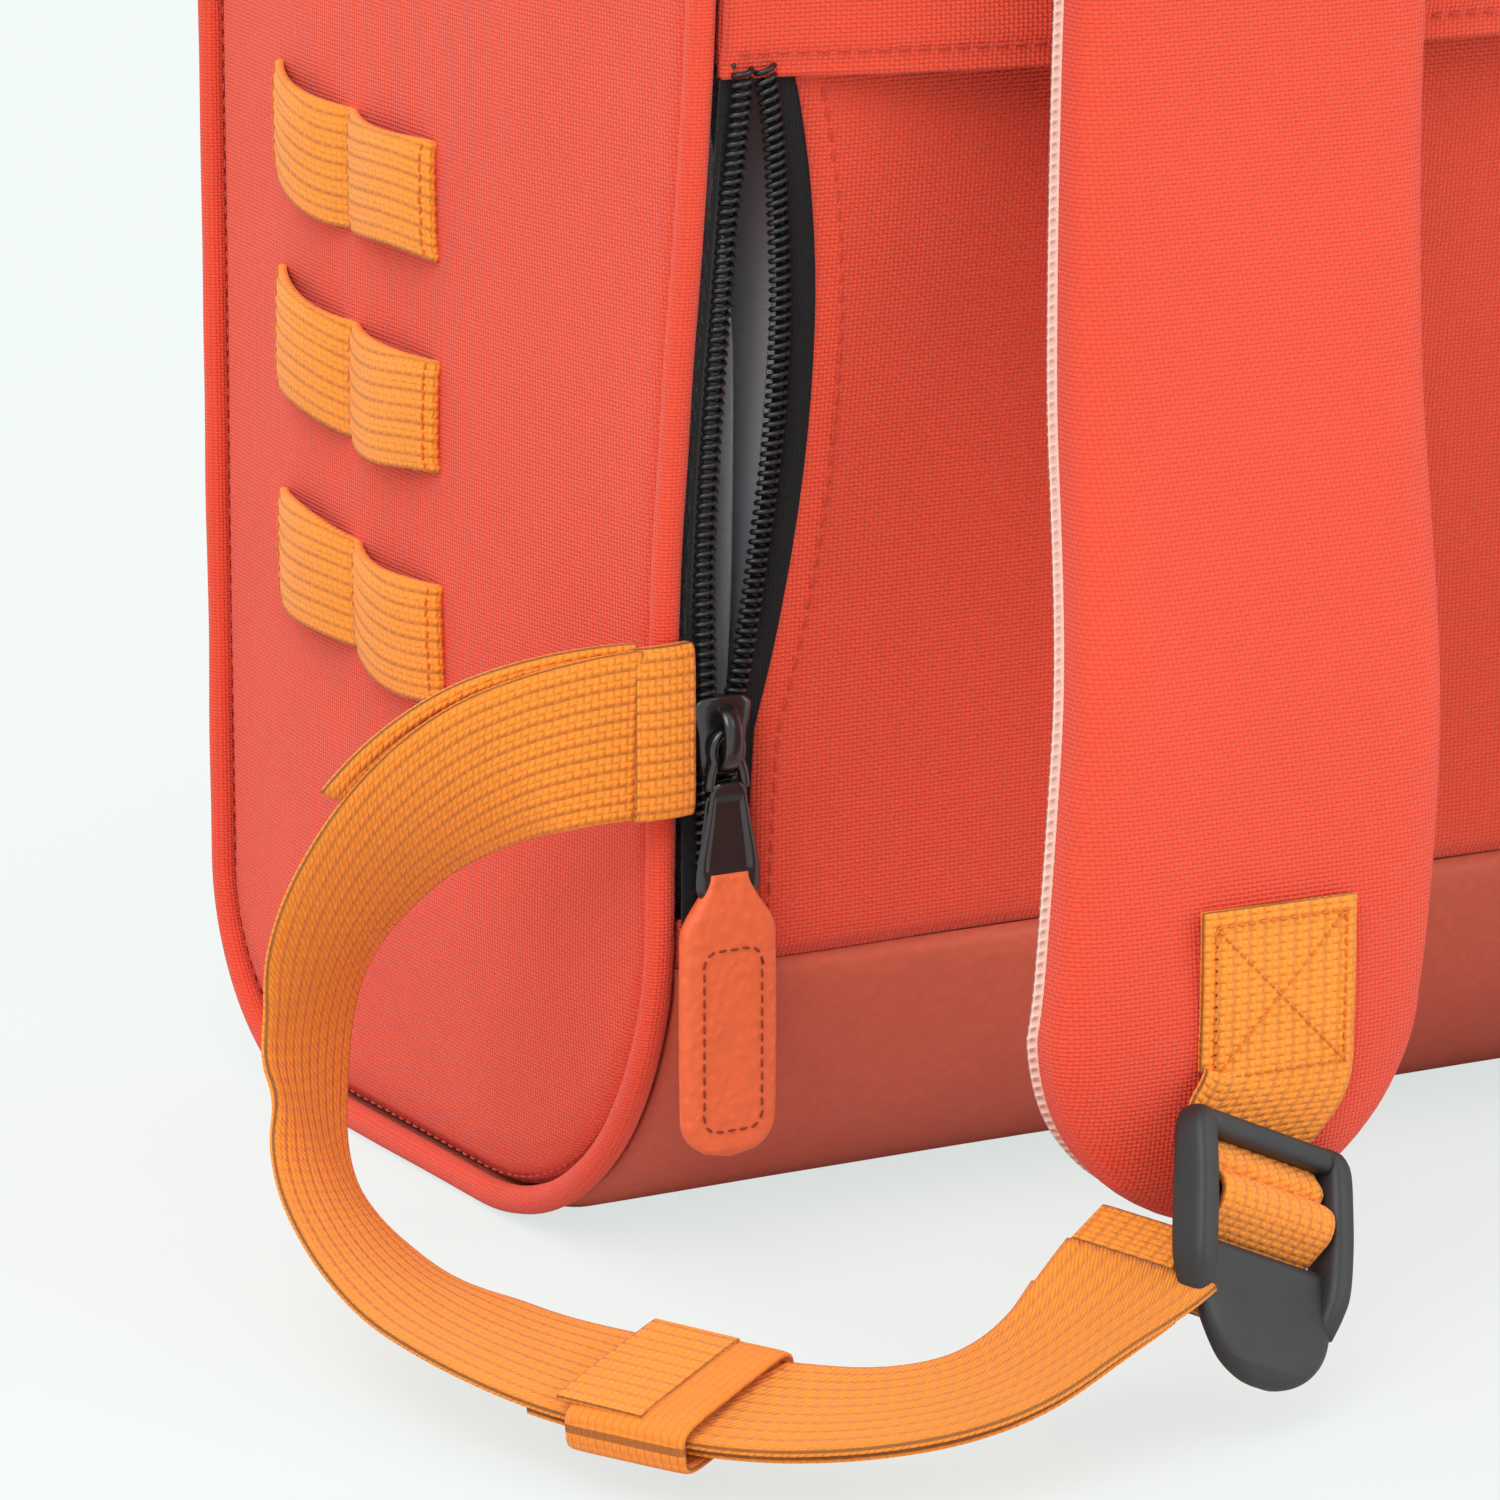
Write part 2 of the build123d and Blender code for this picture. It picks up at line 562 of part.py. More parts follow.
# its outer and inner edges, as (x, z), and its rounded tip
EDGE_OUT = [(84, 384), (90, 320), (96, 255), (101, 190), (112, 130), (121, 85), (124, 54)]
EDGE_IN = [(22, 384), (28, 320), (35, 255), (42, 190), (53, 130), (60, 85), (63, 54)]
STRAP_TIP = (93, 25)


def strap_slab(near, far):
    """A layer of the strap from near to far of its middle, cut to the strap's outline."""
    with BuildPart() as slab:
        with BuildSketch(Plane.YZ):
            with BuildLine():
                inner = Spline(*[(y + near, z) for y, z in STRAP_RUN])
                outer = Spline(*[(y + far, z) for y, z in STRAP_RUN])
                Line(inner @ 0, outer @ 0)
                Line(inner @ 1, outer @ 1)
            make_face()
        extrude(amount=HALF)
        with BuildPart(mode=Mode.PRIVATE) as cutter:
            with BuildSketch(Plane.XZ):
                with BuildLine():
                    out_edge = Spline(*EDGE_OUT)
                    in_edge = Spline(*EDGE_IN)
                    ThreePointArc(out_edge @ 1, STRAP_TIP, in_edge @ 1)
                    Line(out_edge @ 0, in_edge @ 0)
                make_face()
            extrude(amount=-250)
        add(cutter.part, mode=Mode.INTERSECT)
    return slab.part


write_pair(strap_slab(MESH_T - STRAP_T / 2, STRAP_T / 2), "strap_pad")
write_pair(strap_slab(-STRAP_T / 2, MESH_T - STRAP_T / 2), "strap_mesh")

# the seam block that each strap hangs from, and the yoke between them
ANCHOR_LOW, ANCHOR_HIGH, ANCHOR_Y = 382.4, 392.0, 93.0
with BuildPart() as anchors:
    with Locations((53, 80, (ANCHOR_LOW + ANCHOR_HIGH) / 2), (-53, 80, (ANCHOR_LOW + ANCHOR_HIGH) / 2)):
        Box(64, 2 * (ANCHOR_Y - 80), ANCHOR_HIGH - ANCHOR_LOW)
    with Locations((0, 79, (ANCHOR_LOW + ANCHOR_HIGH) / 2)):
        Box(46, 10, ANCHOR_HIGH - ANCHOR_LOW)
    add(body.part, mode=Mode.SUBTRACT)
write(anchors.part, "strap_anchors")

# webbing patch on the strap's lower end, which holds the buckle's top bar
PATCH_X, PATCH_W = 89.0, 25.0
with BuildPart() as patch:
    with BuildSketch(Plane.YZ.offset(PATCH_X - PATCH_W / 2)):
        with BuildLine():
            rear = Spline((150.4, 70), (150.9, 58), (150.6, 47))
            face = Spline((152.0, 70), (152.5, 58), (152.2, 47))
            Line(rear @ 0, face @ 0)
            Line(rear @ 1, face @ 1)
        make_face()
    extrude(amount=PATCH_W)
write_pair(patch.part, "strap_patch")

# ---------------------------------------------------------------- ladder-lock buckles
BUCKLE_MIDDLE = (96.5, 158.8, 27.0)
BUCKLE_ACROSS = (-0.878, -0.243, -0.417)     # along its bars, towards the middle of the bag
BUCKLE_OUT = (-0.383, 0.879, 0.294)          # out of its face
BUCKLE_W, BUCKLE_T, BAR_W = 33.0, 4.0, 25.8
buckle_plane = Plane(origin=BUCKLE_MIDDLE, x_dir=BUCKLE_ACROSS, z_dir=BUCKLE_OUT)
with BuildPart() as buckle:
    with BuildSketch(buckle_plane.offset(-BUCKLE_T / 2)):
        with BuildLine():
            Line((-BUCKLE_W / 2, 14), (BUCKLE_W / 2, 14))
            Line((BUCKLE_W / 2, 14), (BUCKLE_W / 2, -9))
            ThreePointArc((BUCKLE_W / 2, -9), (0, -22), (-BUCKLE_W / 2, -9))
            Line((-BUCKLE_W / 2, -9), (-BUCKLE_W / 2, 14))
        make_face()
    extrude(amount=BUCKLE_T)
    with BuildSketch(buckle_plane.offset(-BUCKLE_T)):
        with Locations((0, 8.0), (0, -1.0)):
            RectangleRounded(BAR_W, 5.6, 1.2)
    extrude(amount=2 * BUCKLE_T, mode=Mode.SUBTRACT)
    fillet(buckle.edges().filter_by(Axis(BUCKLE_MIDDLE, BUCKLE_OUT)).sort_by(Axis.Z)[-2:], 3)
write_pair(buckle.part, "buckle")

# ---------------------------------------------------------------- free webbing between the seam and the buckle
WEB_D = 6.0
WEB_W = 25.0
WEB_ROUTE = [(149.0, 77, 86), (161, 77, 86), (172, 66, 79), (180, 49, 62), (183, 38, 42), (186, 44, 24),
             (190, 66, 15), (191, 96, 12), (186, 130, 12.5), (172, 156, 12), (150, 167, 13),
             (130, 164, 18), (115, 158, 25)]
bends = []
for before, here, after in zip(WEB_ROUTE, WEB_ROUTE[1:], WEB_ROUTE[2:]):
    come, go = Vector(here) - Vector(before), Vector(after) - Vector(here)
    half_turn = radians(come.get_angle(go)) / 2
    bends.append(0.45 * min(come.length, go.length) / tan(half_turn))
with BuildPart() as webbing:
    with BuildLine() as route:
        FilletPolyline(*WEB_ROUTE, radius=bends)
    with BuildSketch(Plane(origin=WEB_ROUTE[0], z_dir=Vector(WEB_ROUTE[1]) - Vector(WEB_ROUTE[0]))):
        Circle(WEB_D / 2)
    sweep()
write_pair(webbing.part, "strap_webbing")
web_length = sum(edge.length for edge in route.edges())
print("webbing length", round(web_length, 1), "volume ratio",
      round(webbing.part.volume / (web_length * 3.14159 * WEB_D ** 2 / 4), 3), "radii", [round(r) for r in bends])

# stitched end of the webbing, folded over the piping
with BuildPart() as web_ends:
    with Locations((144.9, 77.2, 86), (-144.9, 77.2, 86)):
        Box(8.2, 3.0, WEB_W)
write(web_ends.part, "webbing_ends")

# elastic band that keeps the webbing's tail
KEEPER_ALONG = Vector(WEB_ROUTE[9]) - Vector(WEB_ROUTE[8])
with BuildPart(Plane(origin=(179, 143.5, 13.6), x_dir=(KEEPER_ALONG.X, KEEPER_ALONG.Y, 0), z_dir=(0, 0, 1))) as keeper:
    Box(20, 11, 26)
    Box(22, 8.6, 24, mode=Mode.SUBTRACT)
write_pair(keeper.part, "keeper")
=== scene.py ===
"""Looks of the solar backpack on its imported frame.

Metres: +Z up, +Y towards the wearer, +X the wearer's right.
"""

import json
import math

import bmesh
import bpy
import numpy as np
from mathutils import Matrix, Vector, noise

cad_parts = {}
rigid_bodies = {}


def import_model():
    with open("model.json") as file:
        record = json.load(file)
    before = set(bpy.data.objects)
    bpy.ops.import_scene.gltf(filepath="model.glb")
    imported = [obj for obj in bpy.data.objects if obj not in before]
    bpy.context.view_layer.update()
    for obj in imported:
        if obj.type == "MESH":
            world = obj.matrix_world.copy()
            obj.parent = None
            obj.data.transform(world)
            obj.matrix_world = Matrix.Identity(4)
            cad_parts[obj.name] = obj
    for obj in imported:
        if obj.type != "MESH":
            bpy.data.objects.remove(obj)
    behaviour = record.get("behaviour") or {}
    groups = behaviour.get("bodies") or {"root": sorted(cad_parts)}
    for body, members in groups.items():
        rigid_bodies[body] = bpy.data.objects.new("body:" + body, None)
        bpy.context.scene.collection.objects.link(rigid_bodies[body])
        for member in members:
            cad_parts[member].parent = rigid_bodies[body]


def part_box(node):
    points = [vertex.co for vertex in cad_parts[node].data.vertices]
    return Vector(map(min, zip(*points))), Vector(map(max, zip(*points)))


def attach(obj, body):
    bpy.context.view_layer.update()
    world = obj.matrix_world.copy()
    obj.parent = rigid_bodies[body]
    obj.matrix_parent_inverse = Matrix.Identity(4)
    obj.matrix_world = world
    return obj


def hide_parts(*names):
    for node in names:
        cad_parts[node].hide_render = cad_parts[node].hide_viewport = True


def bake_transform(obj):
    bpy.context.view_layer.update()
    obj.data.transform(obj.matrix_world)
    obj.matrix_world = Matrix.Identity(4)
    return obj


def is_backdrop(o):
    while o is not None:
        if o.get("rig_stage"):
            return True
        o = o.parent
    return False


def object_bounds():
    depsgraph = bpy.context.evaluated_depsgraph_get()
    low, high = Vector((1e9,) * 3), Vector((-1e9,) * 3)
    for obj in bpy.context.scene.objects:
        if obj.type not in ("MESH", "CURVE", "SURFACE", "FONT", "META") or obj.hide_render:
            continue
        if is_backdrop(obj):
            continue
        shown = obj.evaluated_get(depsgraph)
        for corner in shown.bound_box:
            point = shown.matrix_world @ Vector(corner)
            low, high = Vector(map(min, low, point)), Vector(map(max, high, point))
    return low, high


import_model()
cad_box = [list(corner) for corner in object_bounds()]
MM = 0.001


# ---------------------------------------------------------------- camera, light and floor
def unit(v):
    v = np.asarray(v, float)
    return v / np.maximum(np.linalg.norm(v, axis=-1, keepdims=True), 1e-12)


def make_camera():
    data = bpy.data.cameras.new("camera")
    data.lens, data.sensor_width = 201.69, 36.0
    data.clip_start, data.clip_end = 0.05, 50.0
    camera = bpy.data.objects.new("camera", data)
    camera.location = (0.69343557, 1.09128424, 0.37077715)
    camera.rotation_euler = Vector((-0.4704087, -0.84863976, -0.2419219)).to_track_quat("-Z", "Y").to_euler()
    bpy.context.collection.objects.link(camera)
    bpy.context.scene.camera = camera


def area_lamp(name, place, target, size, watts):
    data = bpy.data.lights.new(name, "AREA")
    data.shape, data.size, data.energy = "SQUARE", size, watts
    lamp = bpy.data.objects.new(name, data)
    lamp.location = place
    lamp.rotation_euler = (Vector(target) - Vector(place)).to_track_quat("-Z", "Y").to_euler()
    bpy.context.collection.objects.link(lamp)


def make_stage():
    bpy.context.scene.view_settings.view_transform = "Standard"
    area_lamp("key", (1.5, 1.3, 2.0), (0.05, 0.0, 0.15), 1.8, 40)
    area_lamp("fill", (-1.8, 1.9, 1.1), (0, 0, 0.2), 2.4, 27)
    area_lamp("back", (0.3, -2.2, 1.6), (0, 0, 0.2), 2.0, 24)
    world = bpy.data.worlds.new("studio")
    bpy.context.scene.world = world
    world.use_nodes = True
    tree = world.node_tree
    sky = tree.nodes["Background"]
    sky.inputs["Color"].default_value = (0.95, 0.98, 0.97, 1)
    sky.inputs["Strength"].default_value = 0.95
    seen = tree.nodes.new("ShaderNodeBackground")
    seen.inputs["Color"].default_value = PALE
    # what is seen directly, mirrored or through film is the pale backdrop
    path = tree.nodes.new("ShaderNodeLightPath")
    shown = path.outputs["Is Camera Ray"]
    for ray in ("Is Glossy Ray", "Is Transmission Ray"):
        either = tree.nodes.new("ShaderNodeMath")
        either.operation = "MAXIMUM"
        tree.links.new(shown, either.inputs[0])
        tree.links.new(path.outputs[ray], either.inputs[1])
        shown = either.outputs[0]
    mix = tree.nodes.new("ShaderNodeMixShader")
    tree.links.new(shown, mix.inputs["Fac"])
    tree.links.new(sky.outputs[0], mix.inputs[1])
    tree.links.new(seen.outputs[0], mix.inputs[2])
    tree.links.new(mix.outputs[0], tree.nodes["World Output"].inputs["Surface"])
    # a floor that fades into the background away from the bag
    mesh = bpy.data.meshes.new("floor")
    mesh.from_pydata([(-6, -6, 0), (6, -6, 0), (6, 6, 0), (-6, 6, 0)], [], [(0, 1, 2, 3)])
    floor = bpy.data.objects.new("floor", mesh)
    bpy.context.collection.objects.link(floor)
    floor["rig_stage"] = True
    look = Look("floor_look", rough=0.9, color=(0.69, 0.70, 0.70, 1))
    tree, links = look.mat.node_tree, look.mat.node_tree.links
    glow = tree.nodes.new("ShaderNodeEmission")
    glow.inputs["Color"].default_value = PALE
    blend = tree.nodes.new("ShaderNodeMixShader")
    path = tree.nodes.new("ShaderNodeLightPath")
    centre = look.add("ShaderNodeVectorMath", look.object_coords(), (0.12, 0.1, 0.0), operation="DISTANCE")
    near, far = 0.16, 0.75
    fade = look.add("ShaderNodeMapRange", centre.outputs["Value"], near, far, 0.76, 1.0, clamp=True)
    shown = look.math("MULTIPLY", fade.outputs[0], path.outputs["Is Camera Ray"])
    links.new(shown, blend.inputs["Fac"])
    links.new(look.shader.outputs[0], blend.inputs[1])
    links.new(glow.outputs[0], blend.inputs[2])
    links.new(blend.outputs[0], tree.nodes["Material Output"].inputs["Surface"])
    floor.data.materials.append(look.mat)


# ---------------------------------------------------------------- materials
def srgb(*rgb):
    """A linear colour from 0-255 screen values."""
    return tuple(((c / 255 + 0.055) / 1.055) ** 2.4 if c > 10 else c / 3294.6 for c in rgb) + (1.0,)


PALE = srgb(243, 250, 248)


class Look:
    """A Principled material and short calls that add nodes to it."""

    def __init__(self, name, color, rough=0.6, **sockets):
        self.mat = bpy.data.materials.new(name)
        self.mat.use_nodes = True
        self.tree = self.mat.node_tree
        self.shader = self.tree.nodes["Principled BSDF"]
        self.color = color
        self.shader.inputs["Base Color"].default_value = color
        self.shader.inputs["Roughness"].default_value = rough
        self.mat.diffuse_color = color
        for key, value in sockets.items():
            self.shader.inputs[key.replace("_", " ")].default_value = value

    def add(self, kind, *inputs, **settings):
        node = self.tree.nodes.new(kind)
        for key, value in settings.items():
            setattr(node, key, value)
        for socket, value in zip(node.inputs, inputs):
            if isinstance(value, bpy.types.NodeSocket):
                self.tree.links.new(value, socket)
            elif value is not None:
                socket.default_value = value
        return node

    def math(self, operation, *inputs):
        return self.add("ShaderNodeMath", *inputs, operation=operation).outputs[0]

    def object_coords(self):
        return self.add("ShaderNodeTexCoord").outputs["Object"]

    def noise(self, scale, detail=2.0, vector=None):
        """Noise about 0.5, with its scale in metres."""
        vector = vector or self.object_coords()
        return self.add("ShaderNodeTexNoise", vector, None, 1 / scale, detail).outputs[0]

    def box_uv(self):
        """Two coordinates in the surface, from the object's own axes."""
        coords = self.add("ShaderNodeTexCoord")
        place = self.add("ShaderNodeSeparateXYZ", coords.outputs["Object"]).outputs
        normal = self.add("ShaderNodeSeparateXYZ", coords.outputs["Normal"]).outputs
        side = self.math("GREATER_THAN", self.math("ABSOLUTE", normal[0]), 0.7)
        flat = self.math("GREATER_THAN", self.math("ABSOLUTE", normal[2]), 0.7)
        u = self.math("MULTIPLY_ADD", self.math("SUBTRACT", place[1], place[0]), side, place[0])
        v = self.math("MULTIPLY_ADD", self.math("SUBTRACT", place[1], place[2]), flat, place[2])
        return u, v

    def sewn_uv(self):
        """The piece's own UV map, in metres: across and along."""
        place = self.add("ShaderNodeSeparateXYZ", self.add("ShaderNodeTexCoord").outputs["UV"]).outputs
        return place[0], place[1]

    def ripple(self, value, pitch):
        """0 at each edge of a thread of that pitch and 1 on its middle, with the sign of its turn."""
        return self.math("SINE", self.math("MULTIPLY", value, math.pi / pitch))

    def weave(self, u, v, pitch_u, pitch_v, wander=0.25):
        """Height of a plain weave."""
        stray = self.noise(0.004, 1.0)
        u = self.math("MULTIPLY_ADD", stray, pitch_u * wander, u)
        v = self.math("MULTIPLY_ADD", stray, pitch_v * wander, v)
        a, b = self.ripple(u, pitch_u), self.ripple(v, pitch_v)
        over = self.math("GREATER_THAN", self.math("MULTIPLY", a, b), 0.0)
        a, b = self.math("ABSOLUTE", a), self.math("ABSOLUTE", b)
        warp = self.math("MULTIPLY", a, self.math("MULTIPLY_ADD", b, 0.5, 0.5))
        weft = self.math("MULTIPLY", b, self.math("MULTIPLY_ADD", a, 0.5, 0.5))
        return self.math("MULTIPLY_ADD", self.math("SUBTRACT", warp, weft), over, weft)

    def tint(self, height, gap_shade_and_tone=0.72, mottle=0.07, scale=0.03):
        """Base colour, darker where the height is low, and uneven over the piece. In the gaps of a weave or
        mesh the darkening is painted shade.
        """
        uneven = self.math("MULTIPLY_ADD", self.noise(scale, 3.0), mottle * 2, 1 - mottle)
        # the low parts darken to this share: painted shade in the gaps of a weave or mesh, uneven tone on a
        # noise height
        shade = self.math("MULTIPLY", self.math("MULTIPLY_ADD", height, 1 - gap_shade_and_tone, gap_shade_and_tone), uneven)
        mixed = self.add("ShaderNodeVectorMath", self.color[:3], operation="SCALE")
        self.tree.links.new(shade, mixed.inputs["Scale"])
        self.tree.links.new(mixed.outputs[0], self.shader.inputs["Base Color"])

    def bump(self, height, depth, normal=None):
        node = self.add("ShaderNodeBump", 1.0, depth)
        self.tree.links.new(height, node.inputs["Height"])
        if normal is not None:
            self.tree.links.new(normal, node.inputs["Normal"])
        self.tree.links.new(node.outputs[0], self.shader.inputs["Normal"])
        return node.outputs[0]


def canvas_look(name, color, pitch=0.72 * MM, depth=0.25 * MM, sewn=False):
    look = Look(name, color, 0.85, Sheen_Weight=0.12, Specular_IOR_Level=0.25)
    u, v = look.sewn_uv() if sewn else look.box_uv()
    height = look.weave(u, v, pitch, pitch * 0.86)
    # painted shade: the weave is darker in the gaps between its threads
    look.tint(height, 0.80)
    crease = look.bump(look.noise(0.02, 3.0), 0.5 * MM)
    look.bump(height, depth, crease)
    return look.mat


def webbing_look(name, color, rib=2.45 * MM, cross=1.15 * MM, depth=0.5 * MM):
    """Ribs along the band, crossed by fine weft."""
    look = Look(name, color, 0.72, Sheen_Weight=0.1, Specular_IOR_Level=0.3)
    u, v = look.sewn_uv()
    wander = look.math("MULTIPLY_ADD", look.noise(0.006, 2.0), 0.5 * MM, u)
    ribs = look.math("ABSOLUTE", look.ripple(wander, rib))
    fine = look.weave(u, v, rib / 2, cross)
    height = look.math("ADD", look.math("MULTIPLY", ribs, 0.55), look.math("MULTIPLY", fine, 0.6))
    # painted shade: darker between the ribs and in the gaps of the weft
    look.tint(height, 0.83, 0.06, 0.012)
    look.bump(height, depth)
    return look.mat


def leather_look(name, color, grain=1.5 * MM, depth=0.22 * MM, rough=0.5):
    look = Look(name, color, rough, Specular_IOR_Level=0.4)
    cells = look.add("ShaderNodeTexVoronoi", feature="SMOOTH_F1")
    cells.inputs["Scale"].default_value = 1 / grain
    warped = look.add("ShaderNodeTexNoise", look.object_coords(), None, 1 / (grain * 2), 2.0)
    bent = look.add("ShaderNodeVectorMath", warped.outputs["Color"], (grain,) * 3, look.object_coords(),
                    operation="MULTIPLY_ADD")
    look.tree.links.new(bent.outputs[0], cells.inputs["Vector"])
    pebble = look.math("SUBTRACT", 1.0, cells.outputs["Distance"])
    look.tint(pebble, 0.86, 0.06, 0.02)
    worn = look.math("MULTIPLY_ADD", look.noise(0.008), 0.25, rough - 0.12)
    look.tree.links.new(worn, look.shader.inputs["Roughness"])
    look.bump(pebble, depth)
    return look.mat


def moulded_look(name, color, rough=0.42, grain=0.35 * MM, depth=0.02 * MM, **sockets):
    look = Look(name, color, rough, **sockets)
    worn = look.math("MULTIPLY_ADD", look.noise(0.006, 3.0), 0.22, rough - 0.11)
    look.tree.links.new(worn, look.shader.inputs["Roughness"])
    look.bump(look.noise(grain, 2.0), depth)
    return look.mat


def mesh_look(name, color):
    """Spacer mesh: rows of small round holes, with painted shade in them."""
    look = Look(name, color, 0.8, Sheen_Weight=0.2)
    u, v = look.sewn_uv()
    a, b = look.ripple(u, 1.5 * MM), look.ripple(v, 1.5 * MM)
    holes = look.math("ABSOLUTE", look.math("MULTIPLY", a, b))
    height = look.math("SUBTRACT", 1.0, look.math("POWER", holes, 1.5))
    # painted shade: each hole darkens towards its middle
    look.tint(height, 0.72, 0.04)
    look.bump(height, 0.6 * MM)
    return look.mat


def make_looks():
    coral, orange = srgb(243, 80, 54), srgb(250, 146, 44)
    looks = {
        "canvas": canvas_look("canvas", coral),
        "pipe": canvas_look("piping_canvas", coral, 0.6 * MM, 0.18 * MM),
        "lining": canvas_look("grey_lining", srgb(176, 178, 184), 0.4 * MM, 0.08 * MM),
        "webbing": webbing_look("orange_webbing", orange),
        "elastic": webbing_look("orange_elastic", srgb(247, 138, 40), 1.3 * MM, 1.6 * MM, 0.35 * MM),
        "leather": leather_look("base_leather", srgb(196, 86, 62), 1.7 * MM, 0.16 * MM, 0.55),
        "tag": leather_look("tag_leather", srgb(232, 104, 58), 1.5 * MM, 0.3 * MM, 0.48),
        "thread": canvas_look("coral_thread", srgb(214, 70, 46), 0.3 * MM, 0.05 * MM),
        "orange_thread": canvas_look("orange_thread", srgb(228, 122, 36), 0.3 * MM, 0.05 * MM),
        "dark_thread": canvas_look("dark_thread", srgb(150, 58, 34), 0.3 * MM, 0.05 * MM),
        "tape": canvas_look("zip_tape", srgb(22, 22, 24), 0.55 * MM, 0.12 * MM),
        "coil": moulded_look("zip_coil", srgb(26, 26, 28), 0.3),
        "metal": moulded_look("black_metal", srgb(24, 24, 26), 0.26, 0.5 * MM, 0.01 * MM, Coat_Weight=0.5),
        "buckle": moulded_look("buckle_plastic", srgb(34, 34, 36), 0.5),
        "mesh": mesh_look("strap_mesh", srgb(250, 200, 184)),
        "regulator": moulded_look("regulator_plastic", srgb(40, 40, 43), 0.55),
        "circuit": moulded_look("circuit", srgb(30, 92, 58), 0.4),
        "steel": moulded_look("steel", srgb(190, 190, 192), 0.3, Metallic=1.0),
        "board": moulded_look("board", srgb(46, 44, 42), 0.7),
        "backing": canvas_look("solar_backing", srgb(30, 30, 33), 0.5 * MM, 0.1 * MM),
        "cell": cell_look(),
        "film": film_look(),
    }
    return looks


def cell_look():
    """Silicon with fine silver fingers across it."""
    look = Look("solar_cell", srgb(24, 32, 66), 0.25, Specular_IOR_Level=0.6, Coat_Weight=0.4)
    u, v = look.box_uv()
    fingers = look.math("GREATER_THAN", look.math("ABSOLUTE", look.ripple(v, 2.0 * MM)), 0.985)
    crystal = look.noise(0.012, 4.0)
    look.tint(crystal, 0.6, 0.1, 0.05)
    base = look.shader.inputs["Base Color"].links[0].from_socket
    mixed = look.add("ShaderNodeMix", data_type="RGBA")
    look.tree.links.new(fingers, mixed.inputs[0])
    look.tree.links.new(base, mixed.inputs[6])
    mixed.inputs[7].default_value = srgb(150, 156, 170)
    look.tree.links.new(mixed.outputs[2], look.shader.inputs["Base Color"])
    look.bump(fingers, 0.02 * MM)
    return look.mat


def film_look():
    look = Look("solar_film", srgb(70, 84, 110), 0.2, Alpha=0.22, Coat_Weight=0.6, IOR=1.5)
    dimples = look.add("ShaderNodeTexVoronoi", look.object_coords())
    dimples.inputs["Scale"].default_value = 1 / (2.2 * MM)
    look.bump(dimples.outputs["Distance"], 0.12 * MM)
    return look.mat


# ---------------------------------------------------------------- mesh helpers
def piece(name, verts, faces, body, look, uv=None, replaces=(), smooth=True):
    """A new piece that rides on a body, and takes the place of CAD nodes."""
    mesh = bpy.data.meshes.new(name)
    corners = [tuple(v) for v in np.asarray(verts, float)]
    mesh.from_pydata(corners, [], [tuple(int(i) for i in f) for f in faces])
    if uv is not None:
        layer = mesh.uv_layers.new(name="UVMap")
        corners = np.array([loop.vertex_index for loop in mesh.loops])
        layer.data.foreach_set("uv", np.asarray(uv, float)[corners].ravel())
    build = bmesh.new()
    build.from_mesh(mesh)
    bmesh.ops.recalc_face_normals(build, faces=build.faces)
    build.to_mesh(mesh)
    build.free()
    mesh.materials.append(look)
    mesh.polygons.foreach_set("use_smooth", [smooth] * len(mesh.polygons))
    obj = bpy.data.objects.new(name, mesh)
    bpy.context.collection.objects.link(obj)
    if isinstance(body, str):
        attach(obj, body)
    else:
        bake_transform(obj)
    if replaces:
        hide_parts(*replaces)
    return obj


def grid_faces(rows, cols, start=0, wrap=False):
    span = cols if wrap else cols - 1
    return [(start + i * cols + j, start + i * cols + (j + 1) % cols,
             start + (i + 1) * cols + (j + 1) % cols, start + (i + 1) * cols + j)
            for i in range(rows - 1) for j in range(span)]


def grid_normals(grid, inside):
    """Normals of a grid of points, on the side away from inside."""
    normal = unit(np.cross(np.gradient(grid, axis=0), np.gradient(grid, axis=1)))
    if np.sum((grid - np.asarray(inside)) * normal) < 0:
        normal = -normal
    return normal


def grid_uv(grid):
    """Across and along distances of a grid of points, in metres."""
    along = np.cumsum(np.linalg.norm(np.diff(grid, axis=0, prepend=grid[:1]), axis=2), axis=0)
    across = np.cumsum(np.linalg.norm(np.diff(grid, axis=1, prepend=grid[:, :1]), axis=2), axis=1)
    return np.stack([across, along], axis=2)


def shell(name, grid, thick, body, look, inside=(0, 0, 0.2), replaces=()):
    """Cloth of a thickness, whose outer face is a grid of points."""
    grid = np.asarray(grid, float)
    rows, cols = grid.shape[:2]
    under = grid - grid_normals(grid, inside) * thick
    verts = np.concatenate([grid.reshape(-1, 3), under.reshape(-1, 3)])
    count = rows * cols
    faces = grid_faces(rows, cols) + [f[::-1] for f in grid_faces(rows, cols, count)]
    rim = [(0, j) for j in range(cols)] + [(i, cols - 1) for i in range(1, rows)]
    rim += [(rows - 1, j) for j in range(cols - 2, -1, -1)] + [(i, 0) for i in range(rows - 2, 0, -1)]
    rim = [i * cols + j for i, j in rim]
    faces += [(a, b, b + count, a + count) for a, b in zip(rim, rim[1:] + rim[:1])]
    uv = grid_uv(grid).reshape(-1, 2)
    return piece(name, verts, faces, body, look, np.concatenate([uv, uv]), replaces)


